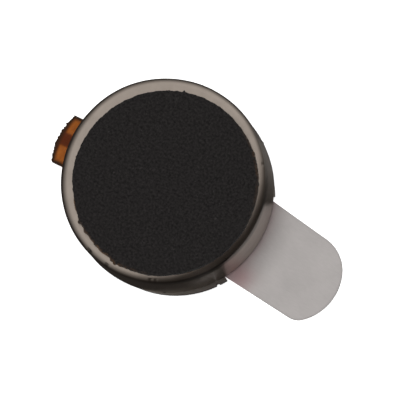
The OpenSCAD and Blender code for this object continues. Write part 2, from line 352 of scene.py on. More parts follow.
def store(piece, name, values, at_poles=0):
    """Keeps one number for each vertex on the mesh, for its material to read. The poles come last."""
    kept = np.full(len(piece.data.vertices), at_poles, np.float32)
    kept[:values.size] = values.ravel()
    layer = piece.data.attributes.new(name, "FLOAT", "POINT")
    layer.data.foreach_set("value", kept)


def round_rim(radius):
    """Points of a circle about the axis, at a degree's spacing: (r cos a, r sin a, 0)."""
    angles = np.arange(360) * FULL_TURN / 360
    return np.stack([radius * np.cos(angles), radius * np.sin(angles), 0 * angles], axis=1)


def spot_at(angles, direction, width):
    """A bell over the angles, its direction and width given in degrees."""
    return bell(angles, math.radians(direction), math.radians(width))


def stretch_at(angles, direction, width, sharp):
    """1 on a stretch of the turn and 0 off it: a logistic step of the angle from its middle."""
    off = np.abs(angles - math.radians(direction)) - math.radians(width)
    return 1 / (1 + np.exp(off * sharp))


def wavy_disc(name, radius, waver, waves, low, high, soften, centre=(0, 0)):
    """A thin round sheet with a wavering edge: its radius times 1 plus waver times a ripple."""
    rim = round_rim(radius)
    outline = rim[:, :2] * (1 + waver * ripple(rim, *waves))[:, None]
    rings, poles = sheet_rings(outline, low, high, soften, 8)
    rings[..., :2] += centre
    poles[:, :2] += centre
    return ring_object(name, rings, poles)


def edge_distance(points, outline):
    """Distance of each point in plan from a closed outline: the least over the outline's points."""
    gap = np.empty(len(points))
    for start in range(0, len(points), 4000):
        part = points[start:start + 4000, None, :2] - outline[None]
        gap[start:start + 4000] = np.sqrt((part ** 2).sum(axis=2)).min(axis=1)
    return gap


def finish_piece(piece, material, body, slot, *nodes):
    """Gives a new piece its material and the body it rides on, and hides the nodes it stands for. Its slot
    is not used.
    """
    piece.data.materials.append(material)
    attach(piece, body)
    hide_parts(*nodes)


def dress(node, material):
    """Gives a node of the frame its material."""
    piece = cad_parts[node]
    piece.data.materials.clear()
    piece.data.materials.append(material)


# ---- Materials ----


def plated_metal(name, colour, rough, stain, streak, grain):
    """Plated or bare metal: mottled colour, smeared roughness and fine draw marks along the axis. It
    turns bright and rough where the mesh notes a scratch or a patch of painted sheen, and dark where it
    notes painted shade and dark smudges."""
    material = bpy.data.materials.new(name)
    material.use_nodes = True
    nodes, links = material.node_tree.nodes, material.node_tree.links
    nodes.clear()

    place = nodes.new("ShaderNodeTexCoord")
    place.label = "Place on the metal"

    blotch = nodes.new("ShaderNodeTexNoise")
    blotch.label = "Cloudy plating"
    blotch.inputs["Scale"].default_value = 1100
    blotch.inputs["Detail"].default_value = 5
    blotch.inputs["Roughness"].default_value = 0.6
    tint = nodes.new("ShaderNodeMix")
    tint.label = "Plating colour"
    tint.data_type = "RGBA"
    tint.inputs["A"].default_value = (*[c * (1 - stain) for c in colour], 1)
    tint.inputs["B"].default_value = (*[min(1, c * (1 + stain)) for c in colour], 1)

    smear = nodes.new("ShaderNodeTexNoise")
    smear.label = "Handling smears"
    smear.inputs["Scale"].default_value = 1600
    smear.inputs["Detail"].default_value = 4
    smear.inputs["Distortion"].default_value = 0.8
    gloss = nodes.new("ShaderNodeMapRange")
    gloss.label = "Roughness of smears"
    gloss.inputs["To Min"].default_value = rough * 0.75
    gloss.inputs["To Max"].default_value = rough * 1.3

    # Reads painted shade on the top of the wall and beside the foam, and dark smudges at the rim's nicks
    drawn = nodes.new("ShaderNodeAttribute")
    drawn.label = "Painted shade and rim smudges"
    drawn.attribute_name = "shade_and_dirt"
    shade_and_dirt_mix = nodes.new("ShaderNodeMix")
    shade_and_dirt_mix.label = "Darkened by painted shade and smudges"
    shade_and_dirt_mix.data_type = "RGBA"
    shade_and_dirt_mix.inputs["B"].default_value = (*[c * 0.30 for c in colour], 1)
    # Reads a scratch and the lighter patches of painted sheen, partly scuffing
    scratch_and_sheen_node = nodes.new("ShaderNodeAttribute")
    scratch_and_sheen_node.label = "Scratch and painted sheen"
    scratch_and_sheen_node.attribute_name = "scratch"
    bright = nodes.new("ShaderNodeMix")
    bright.label = "Bright metal in the scratch and sheen patches"
    bright.data_type = "RGBA"
    bright.inputs["B"].default_value = (0.9, 0.88, 0.85, 1)
    torn = nodes.new("ShaderNodeMath")
    torn.label = "Rough metal in the scratch and sheen patches"
    torn.operation = "MULTIPLY_ADD"
    torn.inputs[1].default_value = 0.4
    dull = nodes.new("ShaderNodeMath")
    dull.label = "Dull metal in the scratch and sheen patches"
    dull.operation = "MULTIPLY_ADD"
    dull.inputs[1].default_value = -0.5
    dull.inputs[2].default_value = 1

    stretch = nodes.new("ShaderNodeMapping")
    stretch.label = "Stretch along the axis"
    stretch.inputs["Scale"].default_value = (1, 1, 0.04)
    marks = nodes.new("ShaderNodeTexNoise")
    marks.label = "Draw marks"
    marks.inputs["Scale"].default_value = 9000
    marks.inputs["Detail"].default_value = 3
    relief = nodes.new("ShaderNodeBump")
    relief.label = "Draw mark relief"
    relief.inputs["Strength"].default_value = 1
    relief.inputs["Distance"].default_value = streak
    sand = nodes.new("ShaderNodeTexNoise")
    sand.label = "Satin grain"
    sand.inputs["Scale"].default_value = 26000
    sand.inputs["Detail"].default_value = 2
    grit = nodes.new("ShaderNodeBump")
    grit.label = "Grain relief"
    grit.inputs["Strength"].default_value = 1
    grit.inputs["Distance"].default_value = grain

    shader = nodes.new("ShaderNodeBsdfPrincipled")
    shader.label = "Metal surface"
    surface = nodes.new("ShaderNodeOutputMaterial")
    surface.label = "Metal out"

    colour_frame = nodes.new("NodeFrame")
    colour_frame.label = "Plating colour"
    gloss_frame = nodes.new("NodeFrame")
    gloss_frame.label = "Gloss"
    relief_frame = nodes.new("NodeFrame")
    relief_frame.label = "Fine relief"
    scratch_and_sheen_frame = nodes.new("NodeFrame")
    scratch_and_sheen_frame.label = "Scratch and painted sheen"
    for node, holder, x, y in (
        (place, None, -900, 0), (blotch, colour_frame, -600, 300), (tint, colour_frame, -350, 300),
        (drawn, colour_frame, -600, 600), (shade_and_dirt_mix, colour_frame, -200, 450),
        (smear, gloss_frame, -600, 0), (gloss, gloss_frame, -350, 0),
        (scratch_and_sheen_node, scratch_and_sheen_frame, -350, 600), (bright, scratch_and_sheen_frame, -100, 500),
        (torn, scratch_and_sheen_frame, -100, 250), (dull, scratch_and_sheen_frame, -100, 750),
        (stretch, relief_frame, -700, -300), (marks, relief_frame, -500, -300),
        (relief, relief_frame, -100, -300), (sand, relief_frame, -500, -550),
        (grit, relief_frame, -300, -550),
        (shader, None, 200, 0), (surface, None, 500, 0),
    ):
        node.parent = holder
        node.location = (x, y)

    links.new(place.outputs["Object"], blotch.inputs["Vector"])
    links.new(blotch.outputs["Fac"], tint.inputs["Factor"])
    links.new(scratch_and_sheen_node.outputs["Fac"], bright.inputs["Factor"])
    links.new(drawn.outputs["Fac"], shade_and_dirt_mix.inputs["Factor"])
    links.new(tint.outputs["Result"], shade_and_dirt_mix.inputs["A"])
    links.new(shade_and_dirt_mix.outputs["Result"], bright.inputs["A"])
    links.new(bright.outputs["Result"], shader.inputs["Base Color"])
    links.new(place.outputs["Object"], smear.inputs["Vector"])
    links.new(smear.outputs["Fac"], gloss.inputs["Value"])
    links.new(scratch_and_sheen_node.outputs["Fac"], dull.inputs[0])
    links.new(dull.outputs["Value"], shader.inputs["Metallic"])
    links.new(scratch_and_sheen_node.outputs["Fac"], torn.inputs[0])
    links.new(gloss.outputs["Result"], torn.inputs[2])
    links.new(torn.outputs["Value"], shader.inputs["Roughness"])
    links.new(place.outputs["Object"], stretch.inputs["Vector"])
    links.new(stretch.outputs["Vector"], marks.inputs["Vector"])
    links.new(place.outputs["Object"], sand.inputs["Vector"])
    links.new(sand.outputs["Fac"], grit.inputs["Height"])
    links.new(grit.outputs["Normal"], relief.inputs["Normal"])
    links.new(marks.outputs["Fac"], relief.inputs["Height"])
    links.new(relief.outputs["Normal"], shader.inputs["Normal"])
    links.new(shader.outputs["BSDF"], surface.inputs["Surface"])
    return material


def plastic_film(name, colour, variation, rough, sheen_coat, fleck_size, relief_depth):
    """Plastic, resin, adhesive or film: flecked colour, uneven gloss and a faint orange-peel relief."""
    material = bpy.data.materials.new(name)
    material.use_nodes = True
    nodes, links = material.node_tree.nodes, material.node_tree.links
    nodes.clear()

    place = nodes.new("ShaderNodeTexCoord")
    place.label = "Place on the film"
    fleck = nodes.new("ShaderNodeTexNoise")
    fleck.label = "Flecks"
    fleck.inputs["Scale"].default_value = 1 / fleck_size
    fleck.inputs["Detail"].default_value = 5
    shade = nodes.new("ShaderNodeMix")
    shade.label = "Flecked colour"
    shade.data_type = "RGBA"
    shade.inputs["A"].default_value = (*[c * (1 - variation) for c in colour], 1)
    shade.inputs["B"].default_value = (*[min(1, c * (1 + variation)) for c in colour], 1)
    wear = nodes.new("ShaderNodeTexNoise")
    wear.label = "Uneven gloss"
    wear.inputs["Scale"].default_value = 0.4 / fleck_size
    gloss = nodes.new("ShaderNodeMapRange")
    gloss.label = "Roughness"
    gloss.inputs["To Min"].default_value = rough * 0.8
    gloss.inputs["To Max"].default_value = min(1, rough * 1.2)
    peel = nodes.new("ShaderNodeTexNoise")
    peel.label = "Orange peel"
    peel.inputs["Scale"].default_value = 2.5 / fleck_size
    relief = nodes.new("ShaderNodeBump")
    relief.label = "Peel relief"
    relief.inputs["Strength"].default_value = 1
    relief.inputs["Distance"].default_value = relief_depth
    shader = nodes.new("ShaderNodeBsdfPrincipled")
    shader.label = "Film surface"
    shader.inputs["Coat Weight"].default_value = sheen_coat
    shader.inputs["Coat Roughness"].default_value = 0.15
    surface = nodes.new("ShaderNodeOutputMaterial")
    surface.label = "Film out"

    colour_frame = nodes.new("NodeFrame")
    colour_frame.label = "Colour"
    gloss_frame = nodes.new("NodeFrame")
    gloss_frame.label = "Gloss"
    relief_frame = nodes.new("NodeFrame")
    relief_frame.label = "Relief"
    for node, holder, x, y in (
        (place, None, -800, 0), (fleck, colour_frame, -500, 300), (shade, colour_frame, -250, 300),
        (wear, gloss_frame, -500, 0), (gloss, gloss_frame, -250, 0),
        (peel, relief_frame, -500, -300), (relief, relief_frame, -250, -300),
        (shader, None, 100, 0), (surface, None, 400, 0),
    ):
        node.parent = holder
        node.location = (x, y)

    links.new(place.outputs["Object"], fleck.inputs["Vector"])
    links.new(fleck.outputs["Fac"], shade.inputs["Factor"])
    links.new(shade.outputs["Result"], shader.inputs["Base Color"])
    links.new(place.outputs["Object"], wear.inputs["Vector"])
    links.new(wear.outputs["Fac"], gloss.inputs["Value"])
    links.new(gloss.outputs["Result"], shader.inputs["Roughness"])
    links.new(place.outputs["Object"], peel.inputs["Vector"])
    links.new(peel.outputs["Fac"], relief.inputs["Height"])
    links.new(relief.outputs["Normal"], shader.inputs["Normal"])
    links.new(shader.outputs["BSDF"], surface.inputs["Surface"])
    return material


def foam_skin(colour, film_colour):
    """Fine-cell foam: dark mottled skin with specks of lint, open cells as tiny pits with painted shade in
    them, brown adhesive where it is torn, and painted shade that blackens the cut side."""
    material = bpy.data.materials.new("foam_skin")
    material.use_nodes = True
    nodes, links = material.node_tree.nodes, material.node_tree.links
    nodes.clear()

    place = nodes.new("ShaderNodeTexCoord")
    place.label = "Place on the foam"
    mottle = nodes.new("ShaderNodeTexNoise")
    mottle.label = "Mottled skin"
    mottle.inputs["Scale"].default_value = 9000
    mottle.inputs["Detail"].default_value = 6
    mottle.inputs["Roughness"].default_value = 0.65
    spread = nodes.new("ShaderNodeValToRGB")
    spread.label = "Skin tones"
    spread.color_ramp.elements[0].position = 0.3
    spread.color_ramp.elements[0].color = (*[c * 0.35 for c in colour], 1)
    spread.color_ramp.elements[1].position = 0.7
    spread.color_ramp.elements[1].color = (*[c * 1.75 for c in colour], 1)
    lint = nodes.new("ShaderNodeTexNoise")
    lint.label = "Lint"
    lint.inputs["Scale"].default_value = 5200
    lint.inputs["Detail"].default_value = 3
    lint.inputs["Distortion"].default_value = 1.5
    specks = nodes.new("ShaderNodeMapRange")
    specks.label = "Pale specks"
    specks.inputs["From Min"].default_value = 0.66
    specks.inputs["From Max"].default_value = 0.80
    specks.inputs["To Max"].default_value = 0.5
    linted = nodes.new("ShaderNodeMix")
    linted.label = "Lint on the skin"
    linted.data_type = "RGBA"
    linted.inputs["B"].default_value = (*[c * 4.5 for c in colour], 1)
    cells = nodes.new("ShaderNodeTexVoronoi")
    cells.label = "Open cells"
    cells.inputs["Scale"].default_value = 14000
    pits = nodes.new("ShaderNodeMapRange")
    pits.label = "Cell pits"
    pits.inputs["From Min"].default_value = 0.05
    pits.inputs["From Max"].default_value = 0.45
    darken = nodes.new("ShaderNodeMix")
    darken.label = "Shade in the pits"
    darken.data_type = "RGBA"
    darken.blend_type = "MULTIPLY"
    darken.inputs["Factor"].default_value = 0.45
    torn = nodes.new("ShaderNodeAttribute")
    torn.label = "Torn edge"
    torn.attribute_name = "torn"
    cut = nodes.new("ShaderNodeAttribute")
    cut.label = "Cut side"
    cut.attribute_name = "side"
    # Painted shade: the cut side is blackened
    side_shade = nodes.new("ShaderNodeMix")
    side_shade.label = "Painted shade on the cut side"
    side_shade.data_type = "RGBA"
    side_shade.inputs["B"].default_value = (*[c * 0.3 for c in colour], 1)
    brown = nodes.new("ShaderNodeMix")
    brown.label = "Adhesive at the tear"
    brown.data_type = "RGBA"
    brown.inputs["B"].default_value = (*film_colour, 1)
    skin = nodes.new("ShaderNodeBump")
    skin.label = "Skin relief"
    skin.inputs["Strength"].default_value = 1
    skin.inputs["Distance"].default_value = 0.014 * MM
    dimples = nodes.new("ShaderNodeBump")
    dimples.label = "Cell relief"
    dimples.inputs["Strength"].default_value = 1
    dimples.inputs["Distance"].default_value = 0.008 * MM
    shader = nodes.new("ShaderNodeBsdfPrincipled")
    shader.label = "Foam surface"
    shader.inputs["Roughness"].default_value = 0.95
    shader.inputs["Specular IOR Level"].default_value = 0.12
    shader.inputs["Sheen Weight"].default_value = 0.06
    shader.inputs["Sheen Roughness"].default_value = 0.6
    surface = nodes.new("ShaderNodeOutputMaterial")
    surface.label = "Foam out"

    colour_frame = nodes.new("NodeFrame")
    colour_frame.label = "Skin colour"
    tear_frame = nodes.new("NodeFrame")
    tear_frame.label = "Torn edge"
    relief_frame = nodes.new("NodeFrame")
    relief_frame.label = "Skin and cells"
    for node, holder, x, y in (
        (place, None, -1100, 0), (mottle, colour_frame, -800, 300), (spread, colour_frame, -550, 300),
        (cells, relief_frame, -800, -100), (pits, relief_frame, -550, -100),
        (lint, colour_frame, -800, 600), (specks, colour_frame, -550, 600),
        (linted, colour_frame, -400, 450),
        (darken, colour_frame, -250, 300), (torn, tear_frame, -250, 600), (brown, tear_frame, 0, 500),
        (cut, colour_frame, -550, 900), (side_shade, colour_frame, -250, 900),
        (dimples, relief_frame, -250, -200), (skin, relief_frame, 0, -200),
        (shader, None, 300, 0), (surface, None, 600, 0),
    ):
        node.parent = holder
        node.location = (x, y)

    links.new(place.outputs["Object"], mottle.inputs["Vector"])
    links.new(mottle.outputs["Fac"], spread.inputs["Fac"])
    links.new(place.outputs["Object"], cells.inputs["Vector"])
    links.new(cells.outputs["Distance"], pits.inputs["Value"])
    links.new(place.outputs["Object"], lint.inputs["Vector"])
    links.new(lint.outputs["Fac"], specks.inputs["Value"])
    links.new(specks.outputs["Result"], linted.inputs["Factor"])
    links.new(spread.outputs["Color"], linted.inputs["A"])
    links.new(linted.outputs["Result"], darken.inputs["A"])
    links.new(pits.outputs["Result"], darken.inputs["B"])
    links.new(torn.outputs["Fac"], brown.inputs["Factor"])
    links.new(cut.outputs["Fac"], side_shade.inputs["Factor"])
    links.new(darken.outputs["Result"], side_shade.inputs["A"])
    links.new(side_shade.outputs["Result"], brown.inputs["A"])
    links.new(brown.outputs["Result"], shader.inputs["Base Color"])
    links.new(pits.outputs["Result"], dimples.inputs["Height"])
    links.new(mottle.outputs["Fac"], skin.inputs["Height"])
    links.new(dimples.outputs["Normal"], skin.inputs["Normal"])
    links.new(skin.outputs["Normal"], shader.inputs["Normal"])
    links.new(shader.outputs["BSDF"], surface.inputs["Surface"])
    return material


def release_paper(colour):
    """Silicone-coated paper: faint cloudy fibres, a darker cut edge, and near the motor a pinkish stain and
    painted contact shade.
    """
    material = bpy.data.materials.new("release_paper")
    material.use_nodes = True
    nodes, links = material.node_tree.nodes, material.node_tree.links
    nodes.clear()

    place = nodes.new("ShaderNodeTexCoord")
    place.label = "Place on the paper"
    cloud = nodes.new("ShaderNodeTexNoise")
    cloud.label = "Cloudy paper"
    cloud.inputs["Scale"].default_value = 650
    cloud.inputs["Detail"].default_value = 4
    tone = nodes.new("ShaderNodeMix")
    tone.label = "Paper tone"
    tone.data_type = "RGBA"
    tone.inputs["A"].default_value = (*[c * 0.87 for c in colour], 1)
    tone.inputs["B"].default_value = (*[c * 1.13 for c in colour], 1)
    pull = nodes.new("ShaderNodeMapping")
    pull.label = "Fibres lie along the tab"
    pull.inputs["Scale"].default_value = (0.25, 1, 1)
    fibre = nodes.new("ShaderNodeTexNoise")
    fibre.label = "Fibres"
    fibre.inputs["Scale"].default_value = 14000
    fibre.inputs["Detail"].default_value = 4
    blend_fibre = nodes.new("ShaderNodeMix")
    blend_fibre.label = "Fibres in the tone"
    blend_fibre.data_type = "RGBA"
    blend_fibre.blend_type = "OVERLAY"
    blend_fibre.inputs["Factor"].default_value = 0.07
    rim = nodes.new("ShaderNodeAttribute")
    rim.label = "Distance from the cut edge"
    rim.attribute_name = "margin"
    rim_shade = nodes.new("ShaderNodeMapRange")
    rim_shade.label = "Cut edge band"
    rim_shade.inputs["From Max"].default_value = 0.09
    rim_shade.inputs["To Min"].default_value = 0.55
    rim_shade.inputs["To Max"].default_value = 0
    edge_tone = nodes.new("ShaderNodeMix")
    edge_tone.label = "Darker cut edge"
    edge_tone.data_type = "RGBA"
    edge_tone.inputs["B"].default_value = (*[c * 0.62 for c in colour], 1)
    # Reads a pinkish stain and painted contact shade by the wall
    stain_and_shade = nodes.new("ShaderNodeAttribute")
    stain_and_shade.label = "Blush near the case"
    stain_and_shade.attribute_name = "stain_and_shade"
    stain_and_shade_tone = nodes.new("ShaderNodeMix")
    stain_and_shade_tone.label = "Blush colour"
    stain_and_shade_tone.data_type = "RGBA"
    stain_and_shade_tone.inputs["B"].default_value = (colour[0] * 0.88, colour[1] * 0.52, colour[2] * 0.55, 1)
    relief = nodes.new("ShaderNodeBump")
    relief.label = "Paper relief"
    relief.inputs["Strength"].default_value = 1
    relief.inputs["Distance"].default_value = 0.0012 * MM
    shader = nodes.new("ShaderNodeBsdfPrincipled")
    shader.label = "Paper surface"
    shader.inputs["Roughness"].default_value = 0.5
    shader.inputs["Specular IOR Level"].default_value = 0.3
    shader.inputs["Coat Weight"].default_value = 0.15
    shader.inputs["Coat Roughness"].default_value = 0.35
    surface = nodes.new("ShaderNodeOutputMaterial")
    surface.label = "Paper out"

    tone_frame = nodes.new("NodeFrame")
    tone_frame.label = "Paper tone and fibres"
    edge_frame = nodes.new("NodeFrame")
    edge_frame.label = "Cut edge"
    stain_and_shade_frame = nodes.new("NodeFrame")
    stain_and_shade_frame.label = "Stain and painted shade"
    for node, holder, x, y in (
        (place, None, -1300, 0), (cloud, tone_frame, -1000, 300), (tone, tone_frame, -750, 300),
        (pull, tone_frame, -1000, 0), (fibre, tone_frame, -750, 0), (blend_fibre, tone_frame, -500, 200),
        (rim, edge_frame, -750, 600), (rim_shade, edge_frame, -500, 600),
        (edge_tone, edge_frame, -250, 400),
        (stain_and_shade, stain_and_shade_frame, -250, 700), (stain_and_shade_tone, stain_and_shade_frame, 0, 500),
        (relief, None, 0, -200), (shader, None, 300, 0), (surface, None, 600, 0),
    ):
        node.parent = holder
        node.location = (x, y)

    links.new(place.outputs["Object"], cloud.inputs["Vector"])
    links.new(cloud.outputs["Fac"], tone.inputs["Factor"])
    links.new(place.outputs["Object"], pull.inputs["Vector"])
    links.new(pull.outputs["Vector"], fibre.inputs["Vector"])
    links.new(tone.outputs["Result"], blend_fibre.inputs["A"])
    links.new(fibre.outputs["Fac"], blend_fibre.inputs["B"])
    links.new(rim.outputs["Fac"], rim_shade.inputs["Value"])
    links.new(rim_shade.outputs["Result"], edge_tone.inputs["Factor"])
    links.new(blend_fibre.outputs["Result"], edge_tone.inputs["A"])
    links.new(stain_and_shade.outputs["Fac"], stain_and_shade_tone.inputs["Factor"])
    links.new(edge_tone.outputs["Result"], stain_and_shade_tone.inputs["A"])
    links.new(stain_and_shade_tone.outputs["Result"], shader.inputs["Base Color"])
    links.new(fibre.outputs["Fac"], relief.inputs["Height"])
    links.new(relief.outputs["Normal"], shader.inputs["Normal"])
    links.new(shader.outputs["BSDF"], surface.inputs["Surface"])
    return material


def amber_film(name, film_colour, land_colour):
    """Polyimide film: dark amber, glowing brighter over a copper land, and darkened at its cut edge by
    painted shade.
    """
    material = bpy.data.materials.new(name)
    material.use_nodes = True
    nodes, links = material.node_tree.nodes, material.node_tree.links
    nodes.clear()

    place = nodes.new("ShaderNodeTexCoord")
    place.label = "Place on the film"
    waver = nodes.new("ShaderNodeTexNoise")
    waver.label = "Uneven film"
    waver.inputs["Scale"].default_value = 3200
    waver.inputs["Detail"].default_value = 5
    land = nodes.new("ShaderNodeAttribute")
    land.label = "Land under the film"
    land.attribute_name = "land"
    glow = nodes.new("ShaderNodeMath")
    glow.label = "Patchy glow"
    glow.operation = "MULTIPLY_ADD"
    glow.inputs[2].default_value = 0
    patch = nodes.new("ShaderNodeMapRange")
    patch.label = "Patchiness"
    patch.inputs["From Min"].default_value = 0.3
    patch.inputs["From Max"].default_value = 0.7
    patch.inputs["To Min"].default_value = 0.65
    patch.inputs["To Max"].default_value = 1.15
    amber = nodes.new("ShaderNodeMix")
    amber.label = "Amber over copper"
    amber.data_type = "RGBA"
    amber.inputs["A"].default_value = (*film_colour, 1)
    amber.inputs["B"].default_value = (*land_colour, 1)
    rim = nodes.new("ShaderNodeAttribute")
    rim.label = "Distance from the cut edge"
    rim.attribute_name = "margin"
    # Painted shade: the film darkens near its cut edge, where the edge is in shadow
    rim_shade = nodes.new("ShaderNodeMapRange")
    rim_shade.label = "Cut edge band"
    rim_shade.inputs["From Min"].default_value = 0.09
    rim_shade.inputs["From Max"].default_value = 0.28
    rim_shade.inputs["To Min"].default_value = 1
    rim_shade.inputs["To Max"].default_value = 0
    edge_tone = nodes.new("ShaderNodeMix")
    edge_tone.label = "Painted shade at the cut edge"
    edge_tone.data_type = "RGBA"
    edge_tone.inputs["B"].default_value = (0.022, 0.008, 0.0015, 1)
    relief = nodes.new("ShaderNodeBump")
    relief.label = "Film relief"
    relief.inputs["Strength"].default_value = 1
    relief.inputs["Distance"].default_value = 0.006 * MM
    shader = nodes.new("ShaderNodeBsdfPrincipled")
    shader.label = "Film surface"
    shader.inputs["Roughness"].default_value = 0.4
    shader.inputs["Specular IOR Level"].default_value = 0.15
    shader.inputs["Coat Weight"].default_value = 0.02
    shader.inputs["Coat Roughness"].default_value = 0.12
    surface = nodes.new("ShaderNodeOutputMaterial")
    surface.label = "Film out"

    glow_frame = nodes.new("NodeFrame")
    glow_frame.label = "Copper under amber"
    edge_frame = nodes.new("NodeFrame")
    edge_frame.label = "Cut edge"
    for node, holder, x, y in (
        (place, None, -1100, 0), (waver, None, -850, 0), (patch, glow_frame, -600, 100),
        (land, glow_frame, -600, 400), (glow, glow_frame, -350, 300), (amber, glow_frame, -100, 300),
        (rim, edge_frame, -350, 700), (rim_shade, edge_frame, -100, 700), (edge_tone, edge_frame, 150, 500),
        (relief, None, 150, -200), (shader, None, 450, 0), (surface, None, 750, 0),
    ):
        node.parent = holder
        node.location = (x, y)

    links.new(place.outputs["Object"], waver.inputs["Vector"])
    links.new(waver.outputs["Fac"], patch.inputs["Value"])
    links.new(land.outputs["Fac"], glow.inputs[0])
    links.new(patch.outputs["Result"], glow.inputs[1])
    links.new(glow.outputs["Value"], amber.inputs["Factor"])
    links.new(rim.outputs["Fac"], rim_shade.inputs["Value"])
    links.new(rim_shade.outputs["Result"], edge_tone.inputs["Factor"])
    links.new(amber.outputs["Result"], edge_tone.inputs["A"])
    links.new(edge_tone.outputs["Result"], shader.inputs["Base Color"])
    links.new(waver.outputs["Fac"], relief.inputs["Height"])
    links.new(relief.outputs["Normal"], shader.inputs["Normal"])
    links.new(shader.outputs["BSDF"], surface.inputs["Surface"])
    return material


def wound_wire(name, centre):
    """Enamelled copper wire wound flat round a centre: ridges at even steps of the distance from it, with
    painted shade between the wires.
    """
    material = bpy.data.materials.new(name)
    material.use_nodes = True
    nodes, links = material.node_tree.nodes, material.node_tree.links
    nodes.clear()

    place = nodes.new("ShaderNodeTexCoord")
    place.label = "Place on the coil"
    shift = nodes.new("ShaderNodeMapping")
    shift.label = "Centre on the coil"
    shift.inputs["Location"].default_value = (-centre[0], -centre[1], 0)
    flat = nodes.new("ShaderNodeVectorMath")
    flat.label = "Drop the height"
    flat.operation = "MULTIPLY"
    flat.inputs[1].default_value = (1, 1, 0)
    reach = nodes.new("ShaderNodeVectorMath")
    reach.label = "Distance from the centre"
    reach.operation = "LENGTH"
    turns = nodes.new("ShaderNodeMath")
    turns.label = "Turns of wire"
    turns.operation = "MULTIPLY"
    turns.inputs[1].default_value = 2 * math.pi / (0.07 * MM)
    wave = nodes.new("ShaderNodeMath")
    wave.label = "Round of each wire"
    wave.operation = "SINE"
    # Painted shade: dark in the grooves between the wires
    tone = nodes.new("ShaderNodeMapRange")
    tone.label = "Painted shade between the wires"
    tone.inputs["From Min"].default_value = -1
    colour = nodes.new("ShaderNodeMix")
    colour.label = "Enamelled copper"
    colour.data_type = "RGBA"
    colour.inputs["A"].default_value = (0.14, 0.035, 0.01, 1)
    colour.inputs["B"].default_value = (0.72, 0.25, 0.08, 1)
    relief = nodes.new("ShaderNodeBump")
    relief.label = "Wire relief"
    relief.inputs["Strength"].default_value = 1
    relief.inputs["Distance"].default_value = 0.02 * MM
    shader = nodes.new("ShaderNodeBsdfPrincipled")
    shader.label = "Wire surface"
    shader.inputs["Metallic"].default_value = 0.6
    shader.inputs["Roughness"].default_value = 0.3
    shader.inputs["Coat Weight"].default_value = 0.5
    surface = nodes.new("ShaderNodeOutputMaterial")
    surface.label = "Wire out"

    turn_frame = nodes.new("NodeFrame")
    turn_frame.label = "Turns of wire"
    for node, holder, x, y in (
        (place, None, -1300, 0), (shift, turn_frame, -1100, 0), (flat, turn_frame, -900, 0),
        (reach, turn_frame, -700, 0), (turns, turn_frame, -500, 0), (wave, turn_frame, -300, 0),
        (tone, None, -100, 150), (colour, None, 100, 150), (relief, None, 100, -150),
        (shader, None, 350, 0), (surface, None, 650, 0),
    ):
        node.parent = holder
        node.location = (x, y)

    links.new(place.outputs["Object"], shift.inputs["Vector"])
    links.new(shift.outputs["Vector"], flat.inputs[0])
    links.new(flat.outputs["Vector"], reach.inputs[0])
    links.new(reach.outputs["Value"], turns.inputs[0])
    links.new(turns.outputs["Value"], wave.inputs[0])
    links.new(wave.outputs["Value"], tone.inputs["Value"])
    links.new(tone.outputs["Result"], colour.inputs["Factor"])
    links.new(colour.outputs["Result"], shader.inputs["Base Color"])
    links.new(wave.outputs["Value"], relief.inputs["Height"])
    links.new(relief.outputs["Normal"], shader.inputs["Normal"])
    links.new(shader.outputs["BSDF"], surface.inputs["Surface"])
    return material


# ---- Pieces ----


